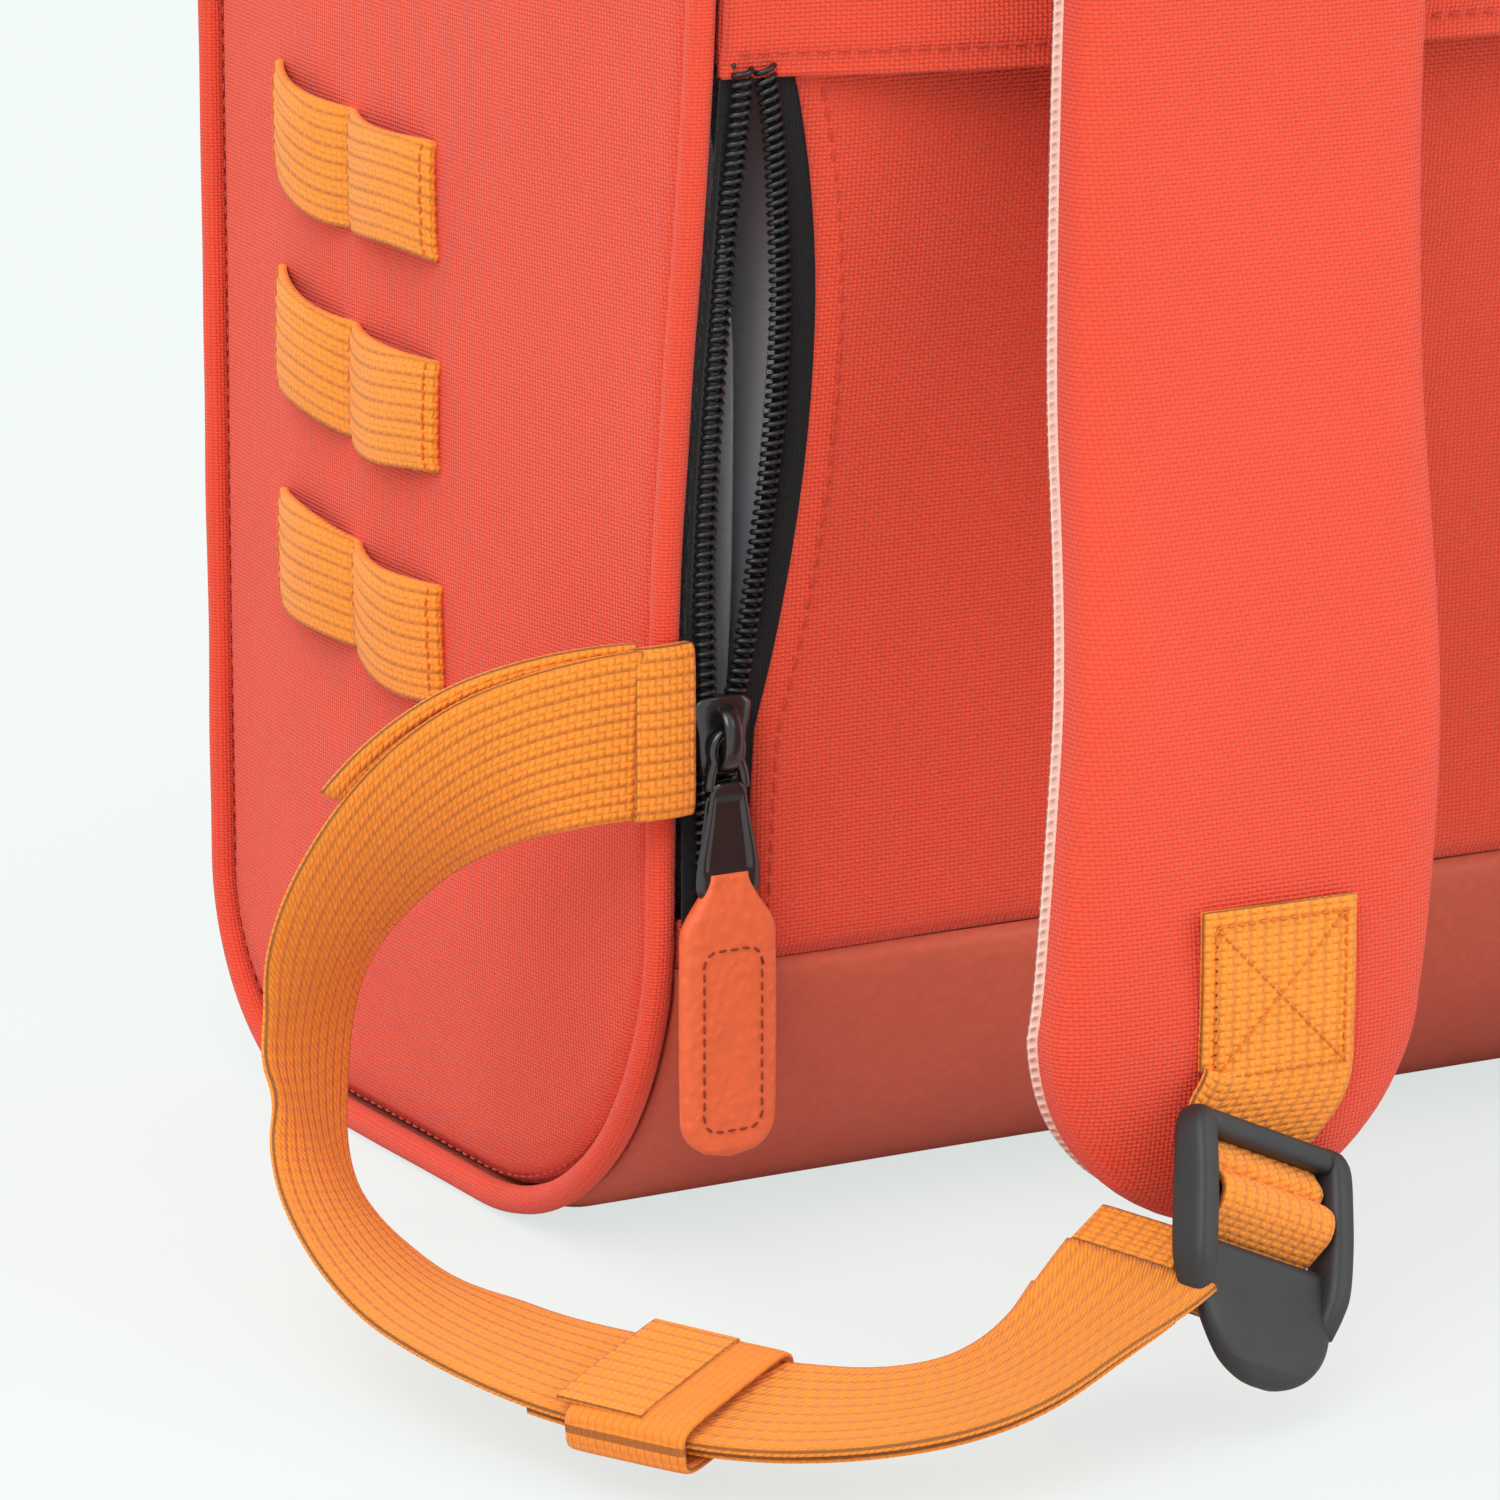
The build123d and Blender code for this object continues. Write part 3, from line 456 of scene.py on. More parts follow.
def loft(name, rings, body, look, replaces=(), closed=False):
    """A closed form through rings of points: capped ends, or closed on itself."""
    rings = np.asarray(rings, float)
    rows, cols = rings.shape[:2]
    faces = grid_faces(rows, cols, wrap=True)
    verts = rings.reshape(-1, 3)
    uv = grid_uv(rings).reshape(-1, 2)
    if closed:
        faces += [((rows - 1) * cols + j, (rows - 1) * cols + (j + 1) % cols, (j + 1) % cols, j)
                  for j in range(cols)]
    else:
        verts = np.concatenate([verts, rings[0].mean(0)[None], rings[-1].mean(0)[None]])
        uv = np.concatenate([uv, uv[:1], uv[-1:]])
        first, last, base = rows * cols, rows * cols + 1, (rows - 1) * cols
        faces += [(first, (j + 1) % cols, j) for j in range(cols)]
        faces += [(last, base + j, base + (j + 1) % cols) for j in range(cols)]
    return piece(name, verts, faces, body, look, uv, replaces)


def resample(points, step):
    """Points evenly spaced along a line of points."""
    points = np.asarray(points, float)
    run = np.concatenate([[0], np.cumsum(np.linalg.norm(np.diff(points, axis=0), axis=1))])
    marks = np.linspace(0, run[-1], max(2, int(round(run[-1] / step)) + 1))
    return np.stack([np.interp(marks, run, points[:, k]) for k in range(points.shape[1])], axis=1)


def tangents(points):
    return unit(np.gradient(points, axis=0))


def section(width, thick, count=20, power=4.0):
    """A rounded flat section, as (across, out) pairs."""
    angle = np.linspace(0, 2 * math.pi, count, endpoint=False)
    c, s = np.cos(angle), np.sin(angle)
    return np.stack([width / 2 * np.sign(c) * abs(c) ** (2 / power),
                     thick / 2 * np.sign(s) * abs(s) ** (2 / power)], axis=1)


def sweep(points, across, shape):
    """Rings of a section along points. across is the direction of its width at each point."""
    out = unit(np.cross(tangents(points), across))
    return points[:, None] + across[:, None] * shape[None, :, :1] + out[:, None] * shape[None, :, 1:]


def stitches(name, path, normals, body, look, pitch=2.6, long=1.9, radius=0.24):
    """Sewing stitches along a path, half sunk in the cloth. Sizes in millimetres."""
    data = resample(np.concatenate([path, np.broadcast_to(normals, np.shape(path))], axis=1), pitch * MM)
    places, outs = data[:, :3], unit(data[:, 3:])
    ways = tangents(places)
    verts, faces = [], []
    for place, out, way in zip(places, outs, ways):
        side = np.cross(way, out)
        start = len(verts)
        for at, size, lift in ((-0.5, 0.3, -0.2), (-0.28, 1, 0.25), (0.28, 1, 0.25), (0.5, 0.3, -0.2)):
            for k in range(6):
                turn = math.pi * k / 3
                round_off = side * math.cos(turn) + out * math.sin(turn)
                swell = round_off * radius * size * MM + out * lift * radius * MM
                verts.append(place + way * at * long * MM + swell)
        faces += grid_faces(4, 6, start, wrap=True)
        faces += [tuple(range(start + 5, start - 1, -1)), tuple(range(start + 18, start + 24))]
    return piece(name, verts, faces, body, look)


def soft(points, size, height, seed=0.0):
    """Height of slow, smooth creases at each point."""
    flat = np.asarray(points).reshape(-1, 3)
    values = [noise.noise(Vector(p) / size + Vector((seed, seed * 1.7, -seed))) for p in flat]
    return np.reshape(values, np.shape(points)[:-1]) * height


def smooth_step(x):
    x = np.clip(x, 0, 1)
    return x * x * (3 - 2 * x)


def mirrored(points, sign):
    return np.asarray(points, float) * np.array((sign, 1.0, 1.0))


# ---------------------------------------------------------------- the bag's outline, seen from the side
def arc(cy, cz, radius, start, stop):
    angle = np.radians(np.linspace(start, stop, 60))
    return np.stack([cy + radius * np.cos(angle), cz + radius * np.sin(angle)], axis=1)


def bag_outline():
    """Evenly spaced (y, z) from the front of the floor line, round by the wearer's side, in millimetres."""
    swell = (85 ** 2 + 7 ** 2) / 14
    lean = math.degrees(math.asin(85 / swell))
    head = (140 ** 2 + 8 ** 2) / 16
    fall = math.degrees(math.asin(140 / head))
    floor, front = np.array([(-41, 0), (16, 0)]), np.array([(-75, 385), (-75, 34)])
    parts = [floor, arc(16, 58, 58, -90, 0), arc(74 + swell, 60, swell, 180, 180 - lean),
             arc(88 - swell, 230, swell, -lean, 0), arc(88 - head, 230, head, 0, fall),
             arc(22, 372, 58, 0, 90), arc(-30, 385, 45, 90, 180), front, arc(-41, 34, 34, 180, 270)]
    return resample(np.concatenate(parts), 1.0) * MM


OUTLINE = bag_outline()
OUT_RUN = np.concatenate([[0], np.cumsum(np.linalg.norm(np.diff(OUTLINE, axis=0), axis=1))])
OUT_WAY = tangents(OUTLINE)
ROUND = OUT_RUN[-1]
TOP_RUN = OUT_RUN[np.argmax(OUTLINE[:, 1])]


def wall(run, out=0.0):
    """(y, z) of the outline at a distance round it, moved out, and the outward (y, z) there."""
    run = np.asarray(run, float) % ROUND
    y, z = np.interp(run, OUT_RUN, OUTLINE[:, 0]), np.interp(run, OUT_RUN, OUTLINE[:, 1])
    way = unit(np.stack([np.interp(run, OUT_RUN, OUT_WAY[:, 0]), np.interp(run, OUT_RUN, OUT_WAY[:, 1])], -1))
    normal = np.stack([way[..., 1], -way[..., 0]], -1)
    return np.stack([y, z], -1) + normal * np.asarray(out)[..., None], normal


def rear_run(z):
    """Distance round the outline to a height on the wearer's side."""
    climb = OUT_RUN < TOP_RUN
    return np.interp(z, OUTLINE[climb, 1], OUT_RUN[climb])


def front_run(z):
    drop = OUT_RUN > TOP_RUN
    return np.interp(-np.asarray(z), -OUTLINE[drop, 1], OUT_RUN[drop])


HALF = 140.5 * MM
CANVAS_T = 2.0 * MM
SEAM_Z, BACK_TOP, RIM_TOP = (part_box(node)[1][2] for node in ("leather_base", "back_panel", "front_rim"))


def dip(distance, depth=1.3 * MM, reach=3.0 * MM):
    """How far cloth sinks towards a seam at that distance from it."""
    return -depth * np.exp(-(np.asarray(distance) / reach) ** 2 * 2)


def spread(xs, place):
    """Points at every x along each (y, z) of place. xs is one row for all, or a row for each."""
    if xs.ndim == 1:
        xs = np.broadcast_to(xs, (len(place), len(xs)))
    return np.stack([xs, *(np.broadcast_to(place[:, None, k], xs.shape) for k in (0, 1))], -1)


def band_points(runs, xs, swell=1.2 * MM, seed=1.0):
    """Points of a band round the bag, sunk at its seams and a little uneven."""
    place, normal = wall(runs)
    base = spread(xs, place)
    xs = base[..., 0]
    out = dip(HALF - abs(xs), 1.0 * MM) + soft(base, 0.05, swell * 0.5, seed)
    edge = np.minimum(runs - runs[0], runs[-1] - runs)
    out = out + dip(edge, 0.9 * MM, 2.0 * MM)[:, None]
    return base + np.stack([0 * xs, normal[:, None, 0] * out, normal[:, None, 1] * out], -1)


def side_x(y, z):
    """How far out the side panel stands at (y, z), in metres, from the edge seam to its soft middle."""
    points = np.stack([np.asarray(y, float), np.asarray(z, float)], -1)
    flat = points.reshape(-1, 2)
    gap = np.sqrt(((flat[:, None] - OUTLINE[None, ::3]) ** 2).sum(2).min(1)).reshape(points.shape[:-1])
    puff = 4.2 * MM * smooth_step(gap / 0.055) ** 0.8 + dip(gap - 4.6 * MM, 1.6 * MM, 1.6 * MM)
    spot = np.stack([0 * points[..., 0], points[..., 0], points[..., 1]], -1)
    return HALF + 2.6 * MM + puff + soft(spot, 0.045, 1.1 * MM, 4.0) * smooth_step(gap / 0.03)


# ---------------------------------------------------------------- body of the bag
def even(low, high, step):
    return np.linspace(low, high, max(2, int(math.ceil((high - low) / step)) + 1))


MOUTH_LOW, MOUTH_HIGH, SLIDER_Z, TAPE_EDGE = 57 * MM, 181 * MM, 84 * MM, 129 * MM


def bowed_edge(z, inset=0.0):
    """x of the open zip's inner tape edge at a height."""
    z = np.asarray(z, float)
    edge = TAPE_EDGE + inset
    middle, half = (MOUTH_HIGH + SLIDER_Z) / 2, (MOUTH_HIGH - SLIDER_Z) / 2
    bow = 6.9 * MM * np.clip(1 - ((z - middle) / half) ** 2, 0, 1)
    return np.where(z > SLIDER_Z, edge - bow, edge + 1.2 * MM * (SLIDER_Z - z) / (SLIDER_Z - MOUTH_LOW))


def shut_edge(z, inset=0.0):
    return np.full(np.shape(z), TAPE_EDGE + inset)


def back_side(x, z, out=0.0):
    """Points on the wearer's side at x and z."""
    place, normal = wall(rear_run(z), out)
    return np.stack([np.broadcast_to(x, place.shape[:-1]), place[..., 0], place[..., 1]], -1)


def build_back(looks):
    low, high = SEAM_Z + 0.1 * MM, BACK_TOP - 0.1 * MM
    step = 0.15 * MM
    zs = np.concatenate([even(low, MOUTH_LOW - step, 3 * MM), even(MOUTH_LOW, MOUTH_HIGH, 3 * MM),
                         even(MOUTH_HIGH + step, high, 4 * MM)])
    in_mouth = (zs >= MOUTH_LOW) & (zs <= MOUTH_HIGH)
    right = np.where(in_mouth, bowed_edge(zs), HALF)
    left = np.where(in_mouth, -shut_edge(zs), -HALF)
    share = np.linspace(0, 1, 60)
    xs = left[:, None] + (right - left)[:, None] * share[None]
    grid = band_points(rear_run(zs), xs)
    shell("back_panel_skin", grid, CANVAS_T, "bag", looks["canvas"],
          replaces=["back_panel", "back_foam"])
    for sign, edge in ((1, bowed_edge), (-1, shut_edge)):
        z = even(SEAM_Z + 2 * MM, BAND_LOW - 0.5 * MM, 2 * MM)
        x = edge(np.clip(z, MOUTH_LOW, None), -3.6 * MM)
        path = mirrored(back_side(x, z, 0.2 * MM), sign)
        side = "right" if sign > 0 else "left"
        stitches(f"mouth_stitches_{side}", path, (0, 1, 0), "bag", looks["thread"], pitch=3.0, long=2.2)


def build_base(looks):
    start, stop = front_run(SEAM_Z) - ROUND, rear_run(SEAM_Z)
    runs, xs = even(start + 0.1 * MM, stop - 0.1 * MM, 2.5 * MM), even(-HALF, HALF, 5 * MM)
    grid = band_points(runs, xs, 0.9 * MM, 7.0)
    grid[..., 2] = np.maximum(grid[..., 2], 0.4 * MM)
    shell("leather_base_skin", grid, CANVAS_T, "bag", looks["leather"],
          replaces=["leather_base"])


def build_top(looks):
    runs = even(rear_run(BACK_TOP) + 0.1 * MM, front_run(RIM_TOP) - 0.1 * MM, 3 * MM)
    grid = band_points(runs, even(-HALF, HALF, 5 * MM), seed=3.0)
    shell("top_panel_skin", grid, CANVAS_T, "bag", looks["canvas"], replaces=["top_panel"])
    for run, name in ((rear_run(BACK_TOP) + 4 * MM, "rear"), (front_run(RIM_TOP) - 4 * MM, "front")):
        place, normal = wall(np.full(2, run), 0.1 * MM)
        path = np.array([(x, place[0, 0], place[0, 1]) for x in (-HALF + 4 * MM, HALF - 4 * MM)])
        stitches(f"top_stitches_{name}", path, (0, *normal[0]), "bag", looks["thread"], pitch=3.0, long=2.2)


def outline_loop(inset, step=2 * MM):
    """The outline moved in, as (y, z), with its outward (y, z)."""
    return wall(np.linspace(0, ROUND, int(ROUND / step), endpoint=False), -inset)


def build_sides(looks):
    centre, rings_to_centre = np.array((2.0, 205.0)) * MM, 26
    edge, _ = outline_loop(4.3 * MM, 3 * MM)
    shares = 1 - np.linspace(0, 1, rings_to_centre) ** 1.25
    for sign, side in ((1, "right"), (-1, "left")):
        flat = centre + (edge - centre)[None] * shares[:-1, None, None]
        x = side_x(flat[..., 0], flat[..., 1])
        rings = np.stack([x, flat[..., 0], flat[..., 1]], -1)
        rings[0, :, 0] = HALF + 0.3 * MM
        back = np.stack([np.full(len(edge), HALF), edge[:, 0], edge[:, 1]], -1)
        rings = mirrored(np.concatenate([back[None], rings]), sign)
        loft(f"side_panel_{side}_skin", rings, "bag", looks["canvas"], [f"side_panel_{side}"])
        # piping: a cord in a bias strip, with its flange sewn beside the panel
        radius = 2.15 * MM
        middle, out = outline_loop(radius, 2 * MM)
        turn = np.linspace(0, 2 * math.pi, 14, endpoint=False)
        lift = HALF + 2.55 * MM + soft(np.pad(middle, ((0, 0), (1, 0))), 0.02, 0.25 * MM, 2.0)
        sideways = lift[:, None] + radius * np.sin(turn)[None]
        around = middle[:, None] + out[:, None] * (radius * np.cos(turn))[None, :, None]
        rings = mirrored(np.concatenate([sideways[..., None], around], -1), sign)
        loft(f"piping_{side}_cord", rings, "bag", looks["pipe"], [f"piping_{side}"], True)
        seam, _ = outline_loop(5.6 * MM, 2 * MM)
        path = np.stack([side_x(seam[:, 0], seam[:, 1]) + 0.05 * MM, seam[:, 0], seam[:, 1]], -1)
        stitches(f"panel_stitches_{side}", mirrored(path, sign), (sign, 0, 0), "bag", looks["thread"],
                 pitch=2.4, long=1.5, radius=0.16)


LOOP_ZS, LOOP_Y0, LOOP_Y1 = (87.9, 121.5, 153.5), -43.0, 13.0


def build_loops(looks):
    for sign, side in ((1, "right"), (-1, "left")):
        for row, z0 in enumerate(LOOP_ZS):
            share = np.linspace(0, 1, 57)
            y = (LOOP_Y0 + (LOOP_Y1 - LOOP_Y0) * share) * MM
            drop = (2.2 - 4.6 * share + 0.9 * np.sin(share * 6.3 + row)) * MM
            half = (8.7 + 0.4 * np.sin(share * 9 + 2 * row)) * MM
            puff = (3.2 * abs(np.sin(math.pi * share * 2)) ** 0.75 + 0.9) * MM
            cols = np.linspace(-1, 1, 21)
            z = z0 * MM + drop[:, None] + half[:, None] * cols[None]
            ys = np.broadcast_to(y[:, None], z.shape)
            ridge = 0.16 * MM * np.cos(cols * math.pi * 8)[None]
            x = side_x(ys, z) + puff[:, None] + ridge - 0.5 * MM * (abs(cols)[None] ** 6)
            grid = mirrored(np.stack([x, ys, z], -1), sign)
            replaced = [f"side_loops_{side}"] if row == 0 else []
            shell(f"loop_{side}_{row}", grid, 1.3 * MM, "bag", looks["webbing"],
                  (0, 0, z0 * MM), replaced)
            for end, at in (("front", 2), ("middle", 28), ("rear", 54)):
                line = grid[at, 1:-1] + np.array((sign * 0.1 * MM, 0, 0))
                stitches(f"loop_stitches_{side}_{row}_{end}", line, (sign, 0, 0), "bag",
                         looks["orange_thread"], 1.6, 1.2, 0.2)


def build_pocket_bags(looks):
    """Grey pouches behind the side zips, drawn to a seam at the top and bottom."""
    for sign, side in ((1, "right"), (-1, "left")):
        zs = even(54 * MM, 183 * MM, 4 * MM)
        mouth = [(129.0, 68), (128.4, 45), (127.6, 10), (128.6, -18), (133.0, -23), (138.0, -18), (139.4, 10),
                 (139.9, 45), (140.0, 68)]
        line = resample(np.array(mouth) * MM, 4 * MM)
        close = np.sin(np.linspace(0.08, math.pi - 0.08, len(zs))) ** 0.25
        x = 134 * MM + (line[:, 0] - 134 * MM)[None] * close[:, None]
        y = line[:, 1][None] * close[:, None] ** 0.3 + 0 * x
        grid = np.stack([x, y, np.broadcast_to(zs[:, None], x.shape)], -1)
        grid[..., 0] += soft(grid, 0.02, 1.0 * MM, 5.0)
        shell(f"pocket_bag_{side}_cloth", mirrored(grid, sign), 0.5 * MM, "bag", looks["lining"],
              (sign * 0.134, 0.03, 0.12), [f"pocket_bag_{side}"])


BAND_LOW, BAND_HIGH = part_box("trolley_sleeve")[0][2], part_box("trolley_sleeve")[1][2]


def band_y(x, z):
    """y of the trolley sleeve's outer face: flat on the bag at its sides and slack between them."""
    share = np.clip(abs(x) / (140.4 * MM), 0, 1)
    slack = 11.2 * MM * (1 - share ** 2)
    hug = wall(rear_run(z))[0][..., 0] + 1.4 * MM
    return hug + (88.1 * MM - hug) * smooth_step((1 - share) / 0.25) + slack * smooth_step((1 - share) * 6)


def build_trolley_sleeve(looks):
    fine, coarse = 0.8 * MM, 4 * MM
    zs = np.concatenate([even(BAND_LOW + 3 * MM, BAND_LOW + 9 * MM, fine),
                         even(BAND_LOW + 11 * MM, BAND_HIGH, coarse)])
    xs = even(-HALF, HALF, 3.5 * MM)
    x, z = np.meshgrid(xs, zs)
    z = z - 1.4 * MM * (1 - (abs(x) / HALF) ** 2)
    grid = np.stack([x, band_y(x, z), z], -1)
    hem = smooth_step((grid[..., 2] - BAND_LOW - 4 * MM) / (4 * MM))
    grid[..., 1] += soft(grid, 0.06, 1.2 * MM, 9.0) - 0.7 * MM * (1 - hem)
    cloth = shell("trolley_sleeve_cloth", grid, 1.8 * MM, "bag", looks["canvas"],
                  replaces=["trolley_sleeve"])
    for name, height in (("hem", BAND_LOW + 6.6 * MM), ("head", BAND_HIGH - 4 * MM)):
        x = even(-HALF + 3 * MM, HALF - 3 * MM, 3 * MM)
        z = height - 1.4 * MM * (1 - (abs(x) / HALF) ** 2)
        path = np.stack([x, band_y(x, z), z], -1)
        path[:, 1] += soft(path, 0.06, 1.2 * MM, 9.0) + 0.1 * MM - (0.25 * MM if name == "hem" else 0)
        stitches(f"sleeve_stitches_{name}", path, (0, 1, 0), "bag", looks["thread"], pitch=2.9, long=2.1)


# ---------------------------------------------------------------- zips
def coil(name, path, out, across, body, look, pitch=1.45, wide=1.55, tall=0.95, wire=0.42, sides=5, steps=12):
    """One half of a zip's coil along a path. Sizes in millimetres."""
    turns = resample(path, pitch * MM / steps)
    way = tangents(turns)
    over = unit(np.broadcast_to(out, turns.shape))
    reach = unit(np.cross(way, over)) * np.sign(np.sum(np.cross(way, over) * across, axis=1, keepdims=True))
    angle = np.arange(len(turns)) * 2 * math.pi / steps
    line = turns + reach * (wide * MM * np.cos(angle))[:, None] + over * (tall * MM * np.sin(angle))[:, None]
    heading = tangents(line)
    side = unit(np.cross(heading, way + 0.01))
    up = np.cross(heading, side)
    turn = np.linspace(0, 2 * math.pi, sides, endpoint=False)
    c, s = np.cos(turn)[None, :, None], np.sin(turn)[None, :, None]
    rings = line[:, None] + wire * MM * (side[:, None] * c + up[:, None] * s)
    return loft(name, rings, body, look)


def chain_lines(z, inner, sign):
    """x of the inner tape's free edge and of the outer one at each height. Right is open, left is shut."""
    if sign < 0:
        meet = 134.75 * MM
        return np.full(len(z), meet - 1.55 * MM), np.full(len(z), meet + 1.5 * MM)
    meet = 135.6 * MM
    outer = np.where(z > SLIDER_Z, 137.6 * MM, meet + 1.7 * MM)
    closing = smooth_step((z - SLIDER_Z + 4 * MM) / (12 * MM))
    return (inner + 5.2 * MM) * closing + (meet - 1.55 * MM) * (1 - closing), outer


def build_pocket_zips(looks):
    z = even(MOUTH_LOW - 3 * MM, MOUTH_HIGH + 1 * MM, 2 * MM)
    for sign, side, edge in ((1, "right", bowed_edge), (-1, "left", shut_edge)):
        inner, limit = np.clip(edge(z), None, HALF), HALF - 0.2 * MM + 0 * z
        lead, outer = chain_lines(z, inner, sign)
        outer = np.convolve(np.pad(outer, 3, mode="edge"), np.ones(7) / 7, mode="valid")
        # the open tapes roll inwards towards their coils
        sink = 2.2 * MM * smooth_step((z - SLIDER_Z) / (30 * MM)) * smooth_step((MOUTH_HIGH - z) / (25 * MM))
        sink = sink if sign > 0 else 0 * z
        halves = (("inner", inner - 1.0 * MM, lead, lead), ("outer", outer, limit, outer))
        for half, low, high, chain in halves:
            share = np.linspace(0, 1, 7)
            x = low[:, None] + (high - low)[:, None] * share[None]
            grid = back_side(x, np.broadcast_to(z[:, None], x.shape), -0.35 * MM)
            tip = share if half == "inner" else 1 - share
            grid[..., 1] -= sink[:, None] * tip[None]
            replaced = [f"pocket_zip_{side}"] if half == "inner" else []
            shell(f"zip_tape_{side}_{half}", mirrored(grid, sign), 0.6 * MM, "bag",
                  looks["tape"], (0, 0, 0.12), replaced)
            line = back_side(chain, z, 0.75 * MM)
            line[:, 1] -= sink
            coil(f"zip_coil_{side}_{half}", mirrored(line, sign), (0, 1, 0), (1, 0, 0), "bag", looks["coil"],
                 wide=1.45 if sign > 0 else 1.2)


class Place:
    """A frame on a zip: x across it, y the way it closes, z out of the cloth."""

    def __init__(self, node, out, up=(0, 0, 1)):
        low, high = (np.array(corner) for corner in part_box(node))
        self.out, self.up = np.array(out, float), np.array(up, float)
        self.across = np.cross(self.up, self.out)
        # the cloth is level with the underside of the slider's box
        self.origin = (low + high) / 2 - self.out * abs(np.dot(high - low, self.out)) / 2

    def at(self, points):
        points = np.asarray(points, float) * MM
        return self.origin + points @ np.stack([self.across, self.up, self.out])


def slider_mesh(name, place, body, looks, node):
    """Cast slider: shoulders at its wide end, side walls round the coil and an arched bridge."""
    widths = [(-5.6, 2.6), (-5.0, 3.5), (-2.5, 3.8), (0.5, 4.0), (3.0, 4.7), (4.8, 4.9), (5.7, 3.9),
              (6.0, 2.6)]
    rings = []
    for y, half in widths:
        shape = section(2 * half, 2.0, 20, 3.0)
        rings.append([(x, y, 0.75 + z) for x, z in shape])
    loft(f"{name}_plate", place.at(rings), body, looks["metal"], replaces=[node])
    angle = np.linspace(-0.05 * math.pi, 1.05 * math.pi, 25)
    rise = np.clip(np.sin(np.clip(angle, 0, math.pi)), 0, 1) ** 0.7
    centre = np.stack([0 * angle, 4.3 * np.cos(angle), 1.2 + 3.7 * rise], 1)
    shape = section(2.9, 1.25, 12, 2.6)
    across = np.broadcast_to((1.0, 0, 0), centre.shape)
    loft(f"{name}_bridge", place.at(sweep(centre, across, shape)), body, looks["metal"])


def pull_mesh(name, place, body, looks, node, long=21.0, top=3.0, foot=5.2):
    """Cast pull: an eye round the bridge, and a flared tab with a raised rim and a slot."""
    mid = 2.6
    turn = np.linspace(-0.18 * math.pi, 1.18 * math.pi, 23)
    eye = np.stack([2.3 * np.cos(turn), -1.6 + 2.6 * np.sin(turn), mid + 0 * turn], 1)
    legs = np.array([(2.9, -7.2, mid), (2.6, -5.0, mid)])
    line = resample(np.concatenate([legs, eye, legs[::-1] * (-1, 1, 1)]), 0.6)
    rings = sweep(line, np.broadcast_to((0, 0, 1.0), line.shape), section(1.5, 1.5, 10, 2.4))
    loft(f"{name}_eye", place.at(rings), body, looks["metal"], [node])
    share = np.linspace(0, 1, 25)
    y = -6.3 - (long - 6.3) * share
    half = top + (foot - top) * smooth_step(share * 1.15)
    half[-2:] *= (0.95, 0.82)
    half[:2] *= (0.8, 0.95)
    cols = np.linspace(-1, 1, 23)
    head, foot_rim = smooth_step((0.16 - share) / 0.06), smooth_step((share - 0.74) / 0.05)
    rim = np.maximum(smooth_step((abs(cols) - 0.62) / 0.16)[None], np.maximum(head, foot_rim)[:, None])
    height = mid + 0.35 + 0.45 * rim - 0.5 * (abs(cols) ** 10)[None]
    grid = np.stack([cols[None] * half[:, None], y[:, None] + 0 * height, height], -1)
    shell(f"{name}_tab", place.at(grid), 1.5 * MM, body, looks["metal"],
          place.at((0, -12, -30)))


def leather_tag(name, place, body, looks, node, start=-19.5, long=42.0, wide=14.6):
    """Folded leather tag, pinched where it goes through the pull, with a stitched oblong."""
    share = np.linspace(0, 1, 48)
    y = start - long * share
    down = share * long
    half = wide / 2 * (0.42 + 0.58 * smooth_step(down / 9.0)) * (1 + 0.04 * np.sin(down / 14))
    end = np.clip((long - down) / 6.5, 0, 1)
    half = half * np.sqrt(np.clip(1 - (1 - end) ** 2.6, 0.0004, 1))
    thick = 3.3 * (0.72 + 0.28 * smooth_step(down / 8.0)) * np.clip(np.sqrt(end * 6), 0.3, 1)
    rings = []
    for k in range(len(share)):
        shape = section(2 * half[k], thick[k], 28, 4.5)
        crease = np.exp(-(shape[:, 0] / 1.8) ** 2) * np.sign(shape[:, 1])
        pinch = 0.5 * math.exp(-(down[k] / 5.0) ** 2) * crease
        rings.append(np.stack([shape[:, 0], np.full(28, y[k]), 2.75 + shape[:, 1] - pinch], 1))
    loft(name, place.at(rings), body, looks["tag"], replaces=[node])
    top, low, side = start - 11.0, start - long + 4.2, wide / 2 - 2.6
    corner = 2.2
    quarter = np.linspace(0, math.pi / 2, 6)
    loop = []
    for cx, cy, turn in ((side, top, 0), (-side, top, 1), (-side, low, 2), (side, low, 3)):
        px, py = cx - math.copysign(corner, cx), cy + (-corner if turn < 2 else corner)
        angles = quarter + turn * math.pi / 2
        loop += [(px + corner * math.cos(a), py + corner * math.sin(a), 0) for a in angles]
    loop = np.array(loop + loop[:1])
    for face, lift in (("front", 4.45), ("rear", 1.05)):
        spot = loop + (0, 0, lift)
        stitches(f"{name}_stitches_{face}", place.at(spot), place.out * (1 if lift > 2 else -1), body,
                 looks["dark_thread"], 1.9, 1.35, 0.2)


def build_sliders(looks):
    def cast(name, place, pull_long=21.0, foot=4.0):
        """Slider and pull, named for their bodies."""
        slider, pull = name.format("slider"), name.format("pull")
        slider_mesh(f"{slider}_cast", place, slider, looks, slider)
        pull_mesh(f"{pull}_cast", place, pull, looks, pull, long=pull_long, foot=foot)

    for side in ("right", "left"):
        place = Place(f"pocket_slider_{side}", (0, 1, 0))
        cast("pocket_{}_" + side, place, pull_long=23.0, foot=5.2)
        leather_tag(f"pocket_tag_{side}_cut", place, f"pocket_pull_{side}", looks, f"pocket_tag_{side}")
        cast("main_{}_" + side, Place(f"main_slider_{side}", (0, -1, 0)))
    cast("front_{}", Place("front_slider", (0, 0, 1), (-1, 0, 0)))


